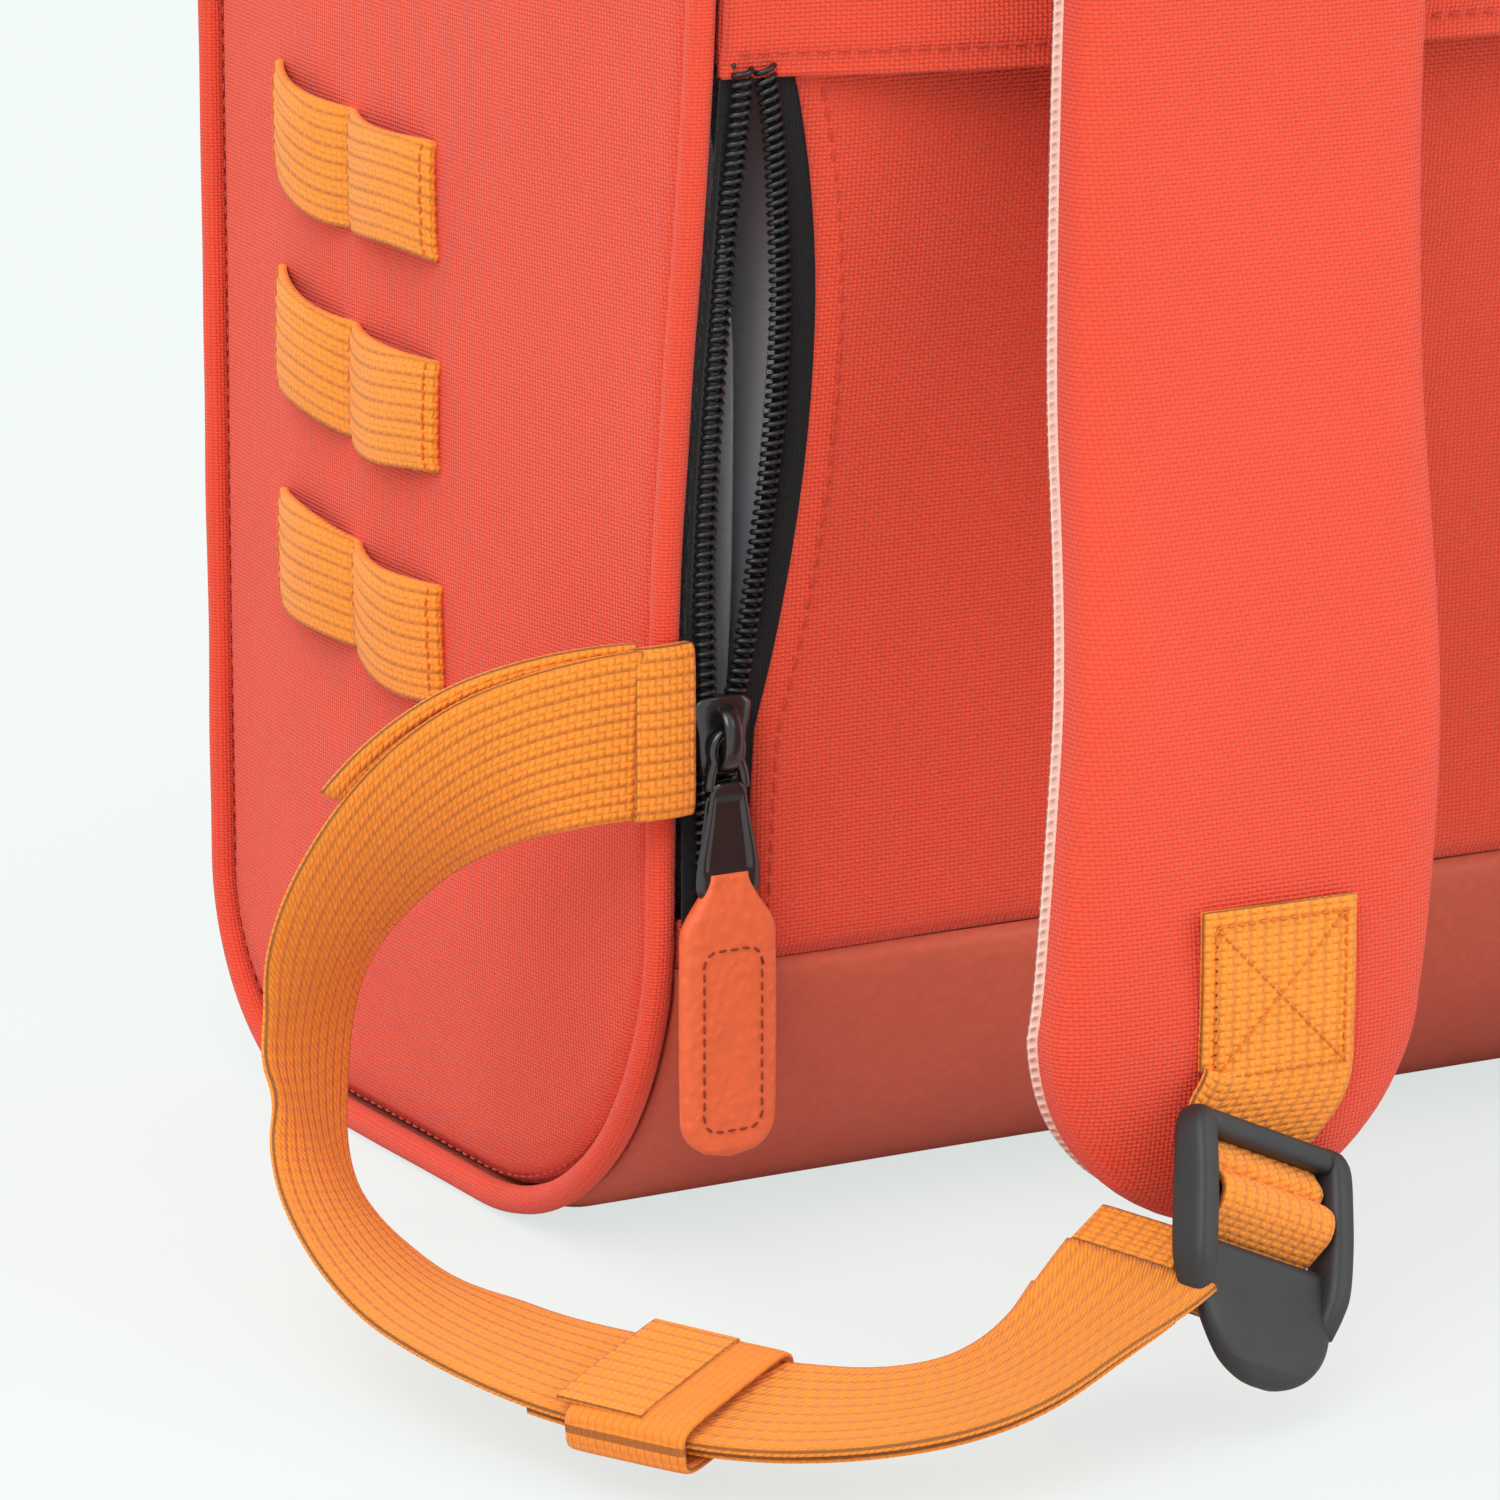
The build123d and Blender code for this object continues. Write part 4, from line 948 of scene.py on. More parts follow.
# ---------------------------------------------------------------- straps
def smooth_line(points, step=2.0):
    """Evenly spaced points on a smooth line through points."""
    points = np.asarray(points, float)
    held = np.concatenate([2 * points[:1] - points[1:2], points, 2 * points[-1:] - points[-2:-1]])
    share = np.linspace(0, 1, 24, endpoint=False)[:, None]
    parts = [0.5 * (2 * b + (c - a) * share + (2 * a - 5 * b + 4 * c - d) * share ** 2
                    + (3 * b - a - 3 * c + d) * share ** 3)
             for a, b, c, d in zip(held, held[1:], held[2:], held[3:])]
    return resample(np.concatenate(parts + [points[-1:]]), step)


STRAP_RUN = smooth_line([(88, 382), (98, 353), (106, 320), (108.5, 285), (109, 240), (110, 190), (121, 140),
                         (139, 95), (145, 62), (144, 42), (140, 24.6)], 1.5)
EDGE_OUT = smooth_line([(84, 384), (90, 320), (95, 255), (99, 190), (108, 130), (118, 85), (123, 54)])
EDGE_IN = smooth_line([(22, 384), (28, 320), (34.5, 255), (40.5, 190), (49, 130), (57, 85), (62, 54)])


def strap_row(z):
    """Middle x and half width of the strap at a height, in millimetres."""
    low, high = np.interp(-z, -EDGE_IN[:, 1], EDGE_IN[:, 0]), np.interp(-z, -EDGE_OUT[:, 1], EDGE_OUT[:, 0])
    round_end = math.sqrt(max(30.6 ** 2 - (55.4 - z) ** 2, 0.6)) if z < 55.4 else 99.0
    return (low + high) / 2, min((high - low) / 2, round_end)


def strap_surface(share, lift):
    """Rows of points across the strap at shares of its half width, lifted from its middle."""
    way = tangents(STRAP_RUN)
    grid = []
    for (y, z), (wy, wz) in zip(STRAP_RUN, way):
        middle, half = strap_row(z)
        grid.append([(middle + u * half, y - wz * h, z + wy * h) for u, h in zip(share, lift)])
    return np.array(grid) * MM


def build_straps(looks):
    loop = np.linspace(0, 2 * math.pi, 64, endpoint=False)
    c, s = np.cos(loop), np.sin(loop)
    for sign, side in ((1, "right"), (-1, "left")):
        body = f"strap_{side}"
        share = np.sign(c) * abs(c) ** 0.42
        lift = np.where(s > 0, -1.4 + 6.6 * abs(s) ** 0.5, -1.4 - 1.4 * abs(s) ** 0.4) - 0.8 * abs(share) ** 6
        rings = strap_surface(share * 0.985, lift)
        crease = soft(rings, 0.05, 1.1 * MM, 6.0) * np.clip(s, 0, 1)[None] * 0.8
        rings[..., 1] += crease
        pad = loft(f"strap_pad_{side}_cover", mirrored(rings, sign), body, looks["canvas"],
                   [f"strap_pad_{side}"])
        lift = -4.0 + np.sign(s) * 1.25 * abs(s) ** 0.5
        rings = strap_surface(np.sign(c) * abs(c) ** 0.3 * 1.012, lift)
        loft(f"strap_mesh_{side}_cloth", mirrored(rings, sign), body, looks["mesh"],
             [f"strap_mesh_{side}"])
        # patch sewn to the strap's end, round the buckle's top bar
        path = [(89.0, 150.9, 71), (89.1, 151.1, 62), (89.2, 151.0, 52), (89.6, 150.9, 45.5)]
        path += [on_buckle(0, up, out) for up, out in ((14.4, -2.9), (10.2, -0.6), (7.6, 0.9), (5.9, -1.2),
                                                       (9.0, -3.6), (14.6, -4.9))]
        line = smooth_line(path, 0.8)
        turn = smooth_step((48 - line[:, 2:]) / 12)
        turn[np.argmin(line[:, 2]):] = 1.0
        across = unit(np.array((1.0, 0, 0)) * (1 - turn) + -B_ACROSS * turn)
        across = unit(across - tangents(line) * np.sum(across * tangents(line), 1, keepdims=True))
        rings = sweep(line, across, section(25.0, 1.5, 28, 7.0)) * MM
        loft(f"strap_patch_{side}_webbing", mirrored(rings, sign), body, looks["webbing"],
             [f"strap_patch_{side}"])
        reach, top, low = 10.6, 69, 47.5
        box_and_cross = [(-reach, top), (reach, top), (reach, low), (-reach, low), (-reach, top),
                         (reach, low), (reach, top), (-reach, low)]
        spots = np.array([(89.1 + x, 151.85, z) for x, z in box_and_cross]) * MM
        stitches(f"patch_stitches_{side}", mirrored(resample(spots, 1 * MM), sign), (0, 1, 0), body,
                 looks["orange_thread"], 1.7, 1.3, 0.22)


def build_yoke(looks):
    loop = np.linspace(0, 2 * math.pi, 32, endpoint=False)
    rings = []
    for x in np.linspace(-87, 87, 100):
        reach = 93.0 - 9.5 * smooth_step((23 - abs(x)) / 5)
        end = math.sqrt(max(1 - (max(abs(x) - 84.5, 0) / 2.6) ** 2, 0.05))
        cy, half, tall = (reach + 66) / 2, (reach - 66) / 2, 5.1 * end
        shape = section(2 * half, 2 * tall, 32, 3.6)
        rings.append([(x, cy + a, 387.3 + b) for a, b in shape])
    rings = np.array(rings) * MM
    rings[..., 2] += soft(rings, 0.03, 0.5 * MM, 8.0)
    loft("strap_yoke_cover", rings, "bag", looks["canvas"], ["strap_anchors"])
    for sign, side in ((1, "right"), (-1, "left")):
        path = np.array([(22 * sign, 90.6, 392.2), (85 * sign, 90.6, 392.2)]) * MM
        stitches(f"yoke_stitches_{side}", path, (0, 0.3, 1), "bag", looks["thread"], pitch=3.0, long=2.2)


def build_handle(looks):
    rise = [(-74, 2, 431.4), (-66, 2, 431.6), (-58, 2, 434.5), (-46, 2, 449), (-24, 2, 460)]
    line = smooth_line(rise + [(0, 2, 463.2)] + [(-x, y, z) for x, y, z in rise[::-1]], 2.0)
    across = np.broadcast_to((0, 1.0, 0), line.shape)
    rings = []
    for spot, out in zip(line, unit(np.cross(tangents(line), across))):
        plump = smooth_step((56 - abs(spot[0])) / 14)
        shape = section(25 - 3 * plump, 1.8 + 5.2 * plump, 28, 6 - 2.6 * plump)
        rings.append(spot + np.array((0, 1.0, 0)) * shape[:, :1] + out * shape[:, 1:])
    rings = np.array(rings) * MM
    loft("carry_handle_cover", rings, "bag", looks["canvas"], ["carry_handle"])
    for sign, side in ((1, "right"), (-1, "left")):
        for x in (62, 72):
            path = np.array([(sign * x, -8, 432.6), (sign * x, 12, 432.6)]) * MM
            stitches(f"handle_stitches_{side}_{x}", path, (0, 0, 1), "bag", looks["thread"])


# ---------------------------------------------------------------- buckle, webbing and keeper
BUCKLE = np.array((96.5, 158.8, 27.0))
B_ACROSS, B_OUT = np.array((-0.878, -0.243, -0.417)), np.array((-0.383, 0.879, 0.294))
B_UP = np.cross(B_OUT, B_ACROSS)


def on_buckle(x, y, z):
    """The point at (across, up, out) of the buckle, in millimetres."""
    return tuple(BUCKLE + B_ACROSS * x + B_UP * y + B_OUT * z)


def build_buckle(sign, side, looks):
    body, look = f"buckle_{side}", looks["buckle"]
    place = np.stack([B_ACROSS, B_UP, B_OUT])

    def made(name, rings, replaces=()):
        points = (BUCKLE + np.asarray(rings, float) @ place) * MM
        return loft(name, mirrored(points, sign), body, look, replaces)

    # side rails, with a hooked outer edge
    for at, rail in ((-15.3, "outer"), (15.3, "inner")):
        lean = math.copysign(1.0, at)
        rows = []
        for y, wide, tall, lift in ((14.6, 2.2, 2.4, -0.2), (13.8, 3.6, 4.4, 0.0), (11.5, 4.3, 5.4, 0.3),
                                    (6, 4.4, 6.0, 0.6), (0, 4.4, 6.2, 0.8), (-6, 4.3, 6.0, 0.8),
                                    (-9.5, 4.0, 5.0, 0.6), (-12.5, 3.0, 3.6, 0.3)):
            shift = -0.10 * max(-y - 5, 0) * lean * 2 - 0.35 * max(y - 12, 0) * lean
            rows.append([(at + shift + a, y, lift + b) for a, b in section(wide, tall, 24, 3.4)])
        rows = smooth_rows(rows, 30)
        made(f"buckle_{side}_{rail}_rail", rows, [f"buckle_{side}"] if rail == "outer" else ())
    for y, wide, tall, out, bar in ((12.6, 3.6, 3.8, 0.4, "top"), (3.5, 2.6, 2.8, -0.4, "middle")):
        shape = section(wide, tall, 20, 3.0)
        rows = [[(x, y + a, out + b) for a, b in shape] for x in np.linspace(-14.5, 14.5, 12)]
        made(f"buckle_{side}_{bar}_bar", rows)
    # thumb tab
    rows = []
    for y in np.concatenate([np.linspace(-3.6, -18, 16), np.linspace(-18.4, -21.9, 14)]):
        drop = max(-y - 8, 0)
        half = 15.0 * math.sqrt(max(1 - (drop / 14.1) ** 2.2, 0.004))
        bend = 0.9 * smooth_step((-y - 4) / 14) * 2.0
        thick = 3.8 * min(1.0, 0.35 + math.sqrt(max(21.9 + y, 0) / 6.0))
        shape = section(2 * half, thick, 36, 3.4)
        rows.append([(a, y, bend + b - 0.5 * (1 - (a / 15) ** 2)) for a, b in shape])
    made(f"buckle_{side}_tab", rows)


def smooth_rows(rows, count):
    """Rings smoothly filled in between a few given ones."""
    rows = np.array(rows, float)
    flat = smooth_line(rows.reshape(len(rows), -1), 1.0)
    picks = np.linspace(0, len(flat) - 1, count).round().astype(int)
    return flat[picks].reshape(count, rows.shape[1], 3)


# points of the webbing's middle line, in millimetres
WEB_ROUTE = [(149, 77, 86), (161, 77, 86), (172, 66, 79), (180, 49, 62), (183, 38, 42), (186, 44, 24),
             (190, 66, 15), (191, 96, 12), (186, 130, 12.5), (172, 156, 12), (150, 167, 13), (130, 164, 18),
             (115, 158, 25)]
WEB_WIDE = [(0, 0.06, 1), (0.18, 0.12, 0.97), (0.62, 0.08, 0.72), (0.95, 0.18, 0.2), (0.83, 0.56, 0.06),
            (0.64, 0.45, 0.63), (0.88, 0.02, 0.47), (1.0, 0.06, 0.07), (0.94, 0.3, -0.14), (0.7, 0.69, -0.18),
            (0.18, 0.98, -0.05), (-0.21, 0.97, 0.12), (-0.38, 0.88, -0.1)]
WEB_LENGTH, WEB_W, WEB_T = 0.272, 25.0, 1.6


def nurbs_line(name, points):
    """Points along a curve whose control points these are, in metres."""
    curve = bpy.data.curves.new(name, "CURVE")
    curve.dimensions = "3D"
    curve.resolution_u = 16
    spline = curve.splines.new("NURBS")
    spline.points.add(len(points) - 1)
    for point, spot in zip(spline.points, points):
        point.co = (*(c * MM for c in spot), 1.0)
    spline.order_u = 3
    spline.use_endpoint_u = True
    obj = bpy.data.objects.new(name, curve)
    bpy.context.collection.objects.link(obj)
    mesh = bpy.data.meshes.new_from_object(obj)
    line = np.array([v.co for v in mesh.vertices], float)
    bpy.data.objects.remove(obj)
    bpy.data.meshes.remove(mesh)
    return resample(line, 1.2 * MM)


def width_along(line):
    """Direction of the webbing's width at each point of its line, square to the line."""
    nearest = [np.argmin(np.linalg.norm(line - np.array(spot) * MM, axis=1)) for spot in WEB_ROUTE]
    wide = np.array(WEB_WIDE, float)
    across = unit(np.stack([np.interp(np.arange(len(line)), nearest, wide[:, k]) for k in range(3)], 1))
    kernel = np.ones(9) / 9
    padded = np.pad(across, ((4, 4), (0, 0)), mode="edge")
    across = np.stack([np.convolve(padded[:, k], kernel, "valid") for k in range(3)], 1)
    way = tangents(line)
    return unit(across - way * np.sum(across * way, 1, keepdims=True))


def build_webbing(sign, side, looks):
    """The free webbing from the base seam to the buckle, and all that is on it."""
    line = nurbs_line(f"web_line_{side}", WEB_ROUTE)
    across = width_along(line)
    ways = ("bag", f"strap_{side}", tuple(mirrored(line[0], sign)), tuple(mirrored(line[-1], sign)))
    shape = section(WEB_W * MM, WEB_T * MM, 36, 7.0)
    main = loft(f"strap_webbing_{side}_ribbon", mirrored(sweep(line, across, shape), sign), ways,
                looks["webbing"], [f"strap_webbing_{side}"])
    out = unit(np.cross(tangents(line), across))

    def band(name, line, across, wide, thick, body, look="webbing", replaced=()):
        """A further piece of flat band, in metres."""
        rings = mirrored(sweep(line, across, section(wide, thick, 28, 7.0)), sign)
        loft(name, rings, body, looks[look], replaced)

    # folded end at the anchor, sewn behind the webbing
    far = 34
    share = np.linspace(0, 1, far)[:, None]
    behind = out[:far] * (1.7 + 1.5 * share * (1 - share)) * MM
    band(f"webbing_fold_{side}", line[:far] + behind + across[:far] * (0.6 + 2.2 * share) * MM, across[:far],
         WEB_W * MM, 1.5 * MM, "bag")
    # the tail, doubled back from the buckle to the keeper
    doubled = slice(int(len(line) * 0.66), -6)
    drift = np.linspace(1.2, 2.0, len(line[doubled]))[:, None]
    tail = line[doubled] + (out[doubled] * 1.75 - across[doubled] * drift) * MM
    rows = mirrored(sweep(tail, across[doubled], shape), sign)
    loft(f"webbing_tail_{side}", rows, ways, looks["webbing"])
    # keeper of ribbed elastic
    at = int(np.argmin(np.linalg.norm(line - np.array((179, 143.5, 12.5)) * MM, axis=1)))
    way, wide, thin = tangents(line)[at], across[at], out[at]
    turn = np.linspace(0, 2 * math.pi, 56, endpoint=False)
    c, s = np.cos(turn), np.sin(turn)
    reach, depth = np.sign(c) * abs(c) ** 0.28 * 13.7, np.sign(s) * abs(s) ** 0.45 * 3.2 + 0.8
    loop = line[at] + (reach[:, None] * wide + depth[:, None] * thin) * MM
    rings = sweep_loop(loop, np.broadcast_to(way, loop.shape), section(19 * MM, 1.3 * MM, 24, 6.0))
    loft(f"keeper_{side}_band", mirrored(rings, sign), ways, looks["elastic"],
                   [f"keeper_{side}"], closed=True)
    # its sewn end, folded over on the outside
    strip = [line[at] + (way * a + thin * (0.024 * a - 2.9)) * MM for a in np.linspace(-11.5, 2, 20)]
    strip = np.array(strip)
    rows = sweep(strip, np.broadcast_to(wide, strip.shape), section(25.0 * MM, 1.1 * MM, 28, 6.0))
    loft(f"keeper_{side}_end", mirrored(rows, sign), ways, looks["webbing"])
    # behind the buckle the webbing turns to face its bars, and goes round the middle one
    reach = line[-1] - across[-1] * 3.5 * MM + tangents(line)[-1] * np.linspace(0.3, 8, 10)[:, None] * MM
    band(f"webbing_reach_{side}", reach, np.broadcast_to(across[-1], reach.shape), 17 * MM, 1.5 * MM,
         f"buckle_{side}")
    round_bar = [(-13, -3.2), (-8, -3.6), (-4.2, -3.2), (-1.0, 0.2), (1.4, 2.7), (3.9, 3.2), (5.4, 1.8),
                 (5.9, -1.0), (4.4, -2.6)]
    route = smooth_line([on_buckle(0, up, lift) for up, lift in round_bar], 0.7) * MM
    band(f"webbing_turn_{side}", route, np.broadcast_to(-B_ACROSS, route.shape), 24.6 * MM, 1.5 * MM,
         f"buckle_{side}")
    # the end caught in the side seam
    root = [(140.9, 76.6, 86), (144, 77.3, 86), (147, 77.4, 86), (150, 77, 86)]
    root = resample(np.array(root) * MM, 0.8 * MM)
    rows = sweep(root, np.broadcast_to((0, 0, 1.0), root.shape), section(25.2 * MM, 3.1 * MM, 28, 6.0))
    replaced = ["webbing_ends"] if side == "right" else []
    loft(f"webbing_root_{side}", mirrored(rows, sign), "bag", looks["webbing"],
                   replaced)


def sweep_loop(points, across, shape):
    """Rings of a section round a closed line of points."""
    way = unit(np.roll(points, -1, axis=0) - np.roll(points, 1, axis=0))
    out = unit(np.cross(way, across))
    return points[:, None] + across[:, None] * shape[None, :, :1] + out[:, None] * shape[None, :, 1:]


# ---------------------------------------------------------------- the front, which the photo doesn't show
def arch(grow, step=3.0, low=60.2, half=112.0, top=374.0, corner=34.0):
    """(x, z) over the top of the front panel, from its bottom left to its bottom right, moved out."""
    turn = np.radians(np.linspace(180, 90, 24))
    radius = corner + grow
    left = np.stack([corner - half + radius * np.cos(turn), top - corner + radius * np.sin(turn)], 1)
    start = np.array([(-(half + grow), low)])
    points = np.concatenate([start, left, left[::-1] * (-1, 1), start * (-1, 1)])
    return resample(points, step)


def at_y(points, y):
    """Points (x, z) at one y, in millimetres, as (x, y, z) in metres."""
    return np.stack([points[:, 0], np.full(len(points), float(y)), points[:, 1]], 1) * MM


def build_front(looks):
    shoulder = 340 * MM
    rounding = shoulder + 33.8 * MM * np.sin(np.linspace(0.05, math.pi / 2, 14))
    zs = np.concatenate([even(60.3 * MM, 338 * MM, 9 * MM), rounding])
    rise = np.clip((zs - shoulder) / (34 * MM), 0, 1)
    half = 78 * MM + 33.9 * MM * np.sqrt(1 - rise ** 2)
    xs = half[:, None] * np.linspace(-1, 1, 41)[None]
    z = np.broadcast_to(zs[:, None], xs.shape)
    edge = np.minimum(half[:, None] - abs(xs), np.minimum(z - 0.06, 0.374 - z))
    y = -75 * MM - dip(edge, 0.8 * MM)
    shell("front_panel_skin", np.stack([xs, y, z], -1), CANVAS_T, "front", looks["canvas"],
          (0, 0, 0.2), ["front_panel"])
    stitches("front_panel_stitches", at_y(arch(-4.5, low=66.0), -75.1), (0, -1, 0), "front", looks["thread"],
             pitch=3.0, long=2.2)
    for low, high, chain, body, half in ((0.0, 4.1, 3.2, "front", "panel"), (4.3, 8.6, 5.4, "bag", "bag")):
        node = f"main_zip_{half}_half"
        rows = [arch(g)[: len(arch(4.0))] for g in np.linspace(low, high, 5)]
        count = min(len(row) for row in rows)
        grid = np.array([at_y(resample_to(row, count), -74.9) for row in rows])
        shell(f"{node}_tape", grid, 0.7 * MM, body, looks["tape"], (0, 0, 0.2), [node])
        coil(f"{node}_coil", at_y(arch(chain, low=64.0), -75.5), (0, -1, 0), (1, 0, 0), body, looks["coil"],
             pitch=1.6, wide=0.95, tall=0.7, wire=0.36, sides=4, steps=8)
    build_rim(looks)
    build_front_pocket(looks)


def resample_to(points, count):
    run = np.concatenate([[0], np.cumsum(np.linalg.norm(np.diff(points, axis=0), axis=1))])
    marks = np.linspace(0, run[-1], count)
    return np.stack([np.interp(marks, run, points[:, k]) for k in range(points.shape[1])], axis=1)


def build_rim(looks):
    """Cloth between the main opening and the piping, one closed band."""
    turn = np.radians(np.linspace(180, 90, 16))
    inner = [(-120.4, z) for z in np.linspace(60, 340, 40)]
    inner += [(-78 + 42.4 * math.cos(a), 340 + 42.4 * math.sin(a)) for a in turn[1:]]
    inner += [(x, 382.4) for x in np.linspace(-78, 0, 12)[1:]]
    outer = [(-140.4, z) for z in np.linspace(49.2, 345, 40)]
    outer += [(-140.4, z) for z in np.linspace(350, 401.6, 8)]
    outer += [(x, 401.6) for x in np.linspace(-138, -80, len(turn) - 1 - 8)]
    outer += [(x, 401.6) for x in np.linspace(-78, 0, 12)[1:]]
    inner, outer = np.array(inner), np.array(outer)
    inner = np.concatenate([inner, inner[-2::-1] * (-1, 1)])
    outer = np.concatenate([outer, outer[-2::-1] * (-1, 1)])
    floor = np.linspace(1, -1, 40)[1:-1]
    inner = np.concatenate([inner, np.stack([floor * 120.4, 0 * floor + 60], 1), inner[:1]])
    outer = np.concatenate([outer, np.stack([floor * 140.4, 0 * floor + 49.2], 1), outer[:1]])
    rows = [inner * (1 - t) + outer * t for t in np.linspace(0, 1, 8)]
    grid = []
    for t, row in zip(np.linspace(0, 1, 8), rows):
        place, _ = wall(front_run(row[:, 1] * MM), -0.6 * MM * (1 - math.sin(math.pi * t)))
        grid.append(np.stack([row[:, 0] * MM, place[:, 0], place[:, 1]], 1))
    shell("front_rim_skin", np.array(grid), CANVAS_T, "bag", looks["canvas"], (0, 0, 0.2),
          ["front_rim"])


def rounded(half_x, low, high, corner, count=200):
    """(x, z) round a rectangle with rounded corners."""
    parts = []
    for cx, cz, start in ((half_x - corner, high - corner, 0), (-half_x + corner, high - corner, 90),
                          (-half_x + corner, low + corner, 180), (half_x - corner, low + corner, 270)):
        turn = np.radians(np.linspace(start, start + 90, 14))
        parts.append(np.stack([cx + corner * np.cos(turn), cz + corner * np.sin(turn)], 1))
    loop = np.concatenate(parts + [parts[0][:1]])
    return resample_to(loop, count + 1)[:-1]


def closed(loop):
    return np.concatenate([loop, loop[:1]])


def build_front_pocket(looks):
    """Pocket wall from the panel outwards, round its front edge and to the middle of its face."""
    middle = np.array((0, 212.0))
    sides = [(0.5, -75.3), (0, -78), (0, -84), (0, -90), (0, -96), (0.3, -99), (1.2, -102), (3.0, -104.8),
             (6, -106.4), (10, -106.95), (16, -107), (30, -107)]
    loops = [rounded(100 - inset, 72 + inset, 352 - inset, max(26 - inset, 1.5)) for inset, _ in sides]
    for shrink in (0.55, 0.5, 0.5):
        loops.append(middle + (loops[-1] - middle) * shrink)
    depths = [y for _, y in sides] + [-107] * 3
    grid = np.array([at_y(loop, y) for loop, y in zip(loops, depths)])
    loose = smooth_step((-grid[..., 1] - 0.076) / 0.01) * (np.arange(len(grid)) < 9)[:, None]
    grid[..., 1] += soft(grid, 0.05, 0.9 * MM, 11.0) * loose
    grid[..., 0] += soft(grid, 0.06, 1.3 * MM, 12.0) * loose * (abs(grid[..., 0]) > 0.09)
    loft("front_pocket_cloth", grid, "front", looks["canvas"], ["front_pocket"])
    path = at_y(closed(rounded(97.5, 74.5, 349.5, 24, 400)), -104.9)
    outward = unit((path - np.array((0, 0, 0.212))) * (1, 0, 1)) * 0.7
    stitches("front_pocket_stitches", path, outward + np.array((0, -0.7, 0)), "front", looks["thread"],
             pitch=3.2, long=2.3)
    build_front_zip(looks)
    build_solar_binding(looks)


def build_front_zip(looks):
    """Closed zip along the pocket's top."""
    for half, low, high, chain in (("rear", -91.0, -87.2, -88.0), ("front", -86.8, -83.0, -86.0)):
        ys = np.linspace(low, high, 5)
        grid = np.array([[(x, y, 352.5) for y in ys] for x in np.linspace(-76, 76, 30)]) * MM
        replaced = ["front_pocket_zip"] if half == "rear" else []
        shell(f"front_zip_tape_{half}", grid, 0.6 * MM, "front", looks["tape"],
              (0, -0.087, 0.2), replaced)
        line = np.array([(-75, chain, 353.1), (75, chain, 353.1)]) * MM
        coil(f"front_zip_coil_{half}", line, (0, 0, 1), (0, 1, 0), "front", looks["coil"], pitch=1.5,
             wide=0.95, tall=0.65, wire=0.36, steps=10)


def build_solar_binding(looks):
    """Tape that binds the solar panel's edge, with a row of stitches on each side."""
    half, low, high, corner = 86.0, 90.0, 334.0, 11.0
    line = at_y(rounded(half, low, high, corner, 240), -109.0)
    way = unit(np.roll(line, -1, axis=0) - np.roll(line, 1, axis=0))
    across = unit(np.cross(way, (0, 1.0, 0)))
    shape = section(12 * MM, 3.2 * MM, 20, 4)[None]
    rings = line[:, None] + across[:, None] * shape[..., :1] + np.array((0, 1.0, 0)) * shape[..., 1:]
    loft("solar_binding_tape", rings, "front", looks["backing"], ["solar_binding"], True)
    for grow, edge in ((-4.6, "in"), (4.4, "out")):
        loop = rounded(half + grow, low - grow, high + grow, corner + grow, 400)
        stitches(f"binding_stitches_{edge}", at_y(closed(loop), -110.5), (0, -1, 0), "front", looks["tape"],
                 2.6, 1.9, 0.2)


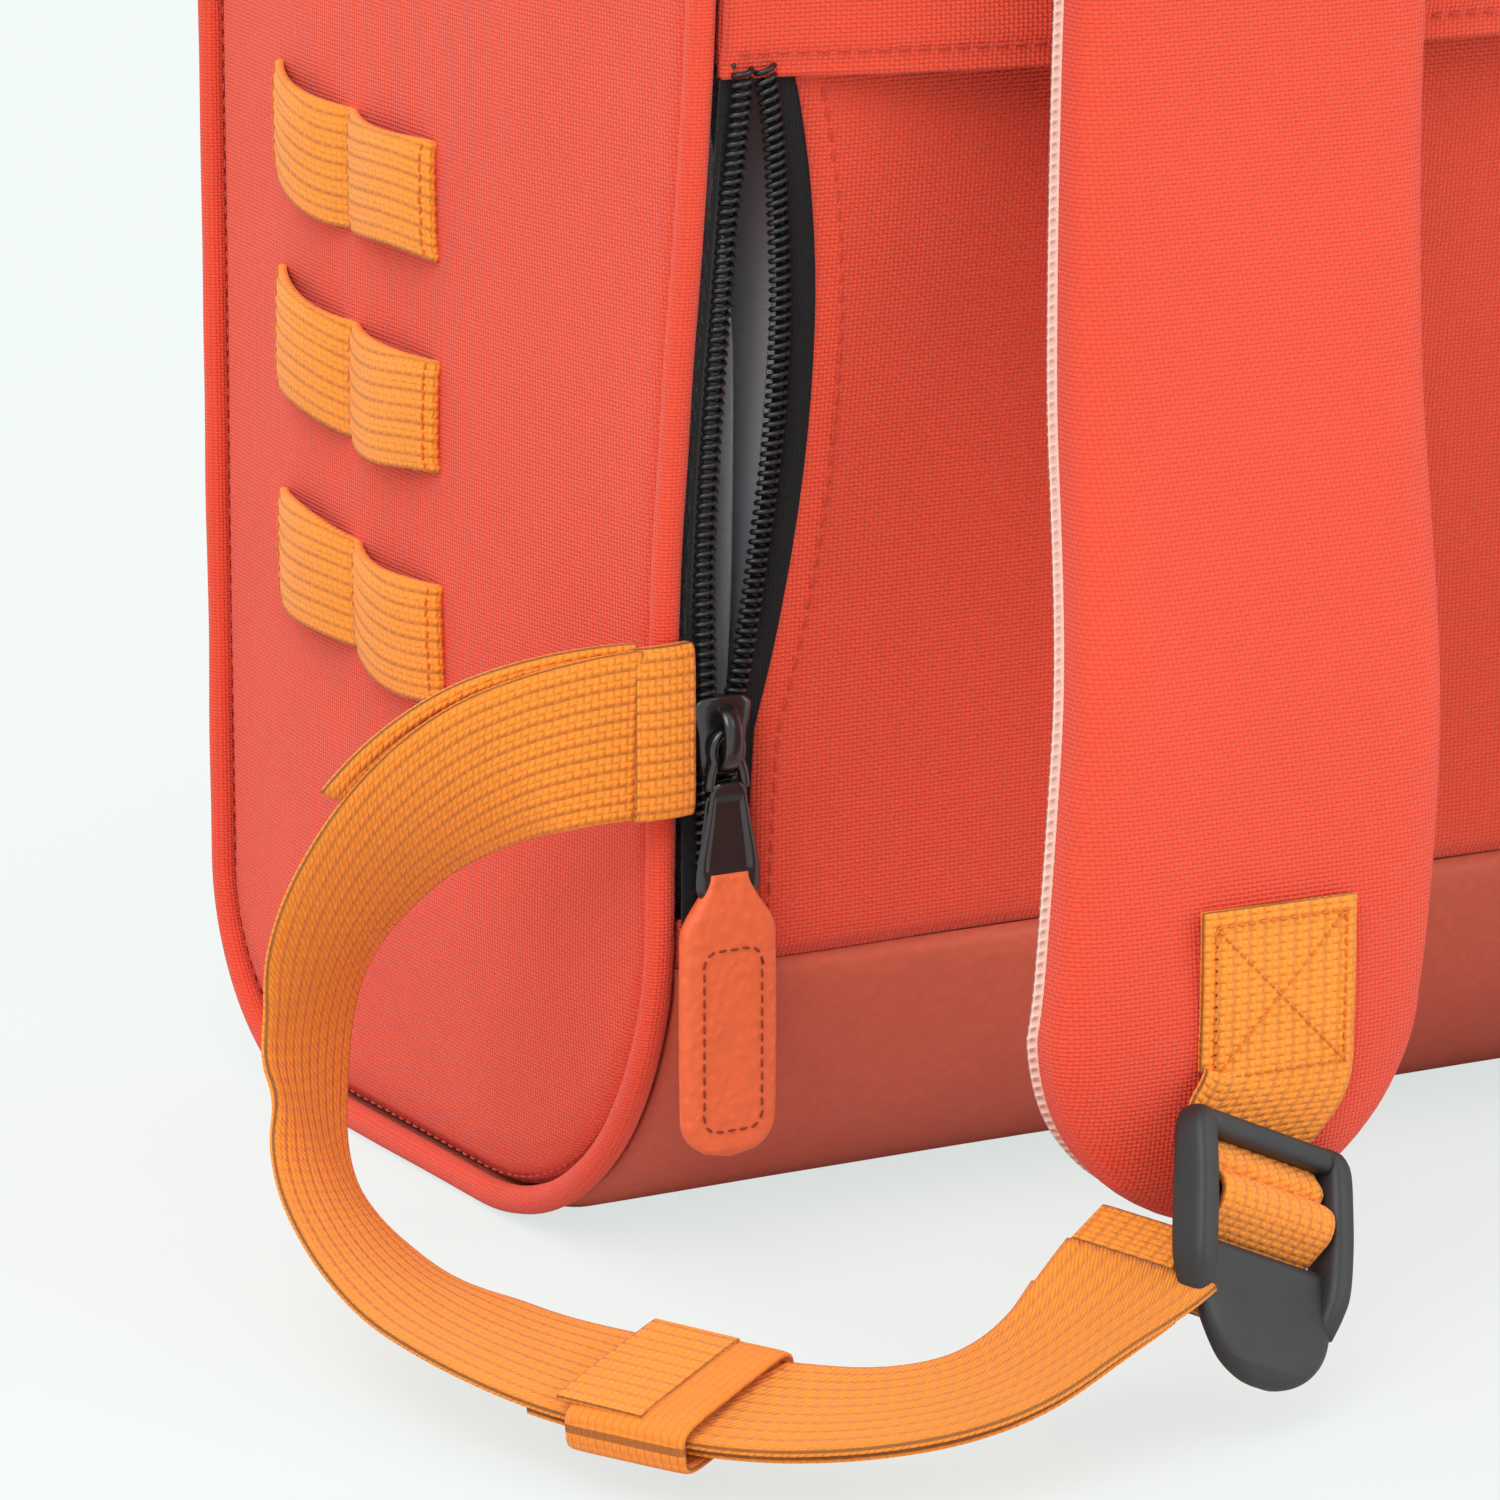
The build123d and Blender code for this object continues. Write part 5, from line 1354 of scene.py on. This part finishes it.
# ---------------------------------------------------------------- inside
def build_inside(looks):
    runs = even(front_run(52 * MM) - ROUND, front_run(384 * MM), 6 * MM)
    xs = even(-126 * MM, 126 * MM, 9 * MM)
    place, _ = wall(runs, -6.6 * MM)
    shell("lining_band", spread(xs, place), 0.5 * MM, "bag", looks["lining"], (0, 0, 0.2),
          ["lining"])
    edge = closed(outline_loop(6.6 * MM, 6 * MM)[0])
    centre = np.array((0.0, 0.205))
    for sign, side in ((1, "right"), (-1, "left")):
        flat = centre + (edge - centre)[None] * np.linspace(1, 0.001, 14)[:, None, None]
        grid = np.stack([np.full(flat.shape[:2], 0.1255), flat[..., 0], flat[..., 1]], -1)
        shell(f"lining_wall_{side}", mirrored(grid, sign), 0.5 * MM, "bag", looks["lining"],
              (0, 0, 0.2))
    rows = []
    for z in np.concatenate([np.linspace(25, 290, 30), 291 + 20 * np.sin(np.linspace(0, math.pi / 2, 14))]):
        rise = max((z - 291) / 20.2, 0)
        half = 102 + 20 * math.sqrt(max(1 - rise ** 2, 0))
        thick = 5.6 if z < 306 else 5.6 * math.sqrt(max((311.2 - z) / 5.2, 0.05))
        rows.append([(a, 50 + b, z) for a, b in section(2 * half, thick, 48, 9.0)])
    cover = loft("laptop_divider_cover", np.array(rows) * MM, "bag", looks["lining"],
                 ["laptop_divider"])


# ---------------------------------------------------------------- the CAD's hard parts keep their shapes
def paint_kept(looks):
    kept = {"base_board": "board", "solar_cells": "cell", "solar_cover": "film", "solar_backing": "backing",
            "regulator_housing": "regulator", "regulator_lid": "regulator", "regulator_screws": "steel",
            "regulator_board": "circuit", "usb_sockets": "steel"}
    for obj in bpy.data.objects:
        if obj.type == "MESH" and obj.name in kept:
            obj.data.materials.clear()
            obj.data.materials.append(looks[kept[obj.name]])


def visual_box():
    """Lowest and highest corners of everything that shows, apart from the stage."""
    corners = []
    for obj in bpy.data.objects:
        if obj.type == "MESH" and not obj.hide_render and "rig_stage" not in obj:
            co = np.empty(len(obj.data.vertices) * 3)
            obj.data.vertices.foreach_get("co", co)
            world = np.array(obj.matrix_world)
            points = co.reshape(-1, 3) @ world[:3, :3].T + world[:3, 3]
            corners += [points.min(0), points.max(0)]
    corners = np.array(corners)
    return [corners.min(0).tolist(), corners.max(0).tolist()]


make_camera()
make_stage()
LOOKS = make_looks()
for SIGN, SIDE in ((1, "right"), (-1, "left")):
    build_webbing(SIGN, SIDE, LOOKS)
    build_buckle(SIGN, SIDE, LOOKS)
build_straps(LOOKS)
build_back(LOOKS)
build_base(LOOKS)
build_top(LOOKS)
build_sides(LOOKS)
build_loops(LOOKS)
build_pocket_bags(LOOKS)
build_pocket_zips(LOOKS)
build_sliders(LOOKS)
build_trolley_sleeve(LOOKS)
build_yoke(LOOKS)
build_handle(LOOKS)
build_front(LOOKS)
build_inside(LOOKS)
paint_kept(LOOKS)

bpy.context.view_layer.update()
{"cad": cad_box, "visual": visual_box()}
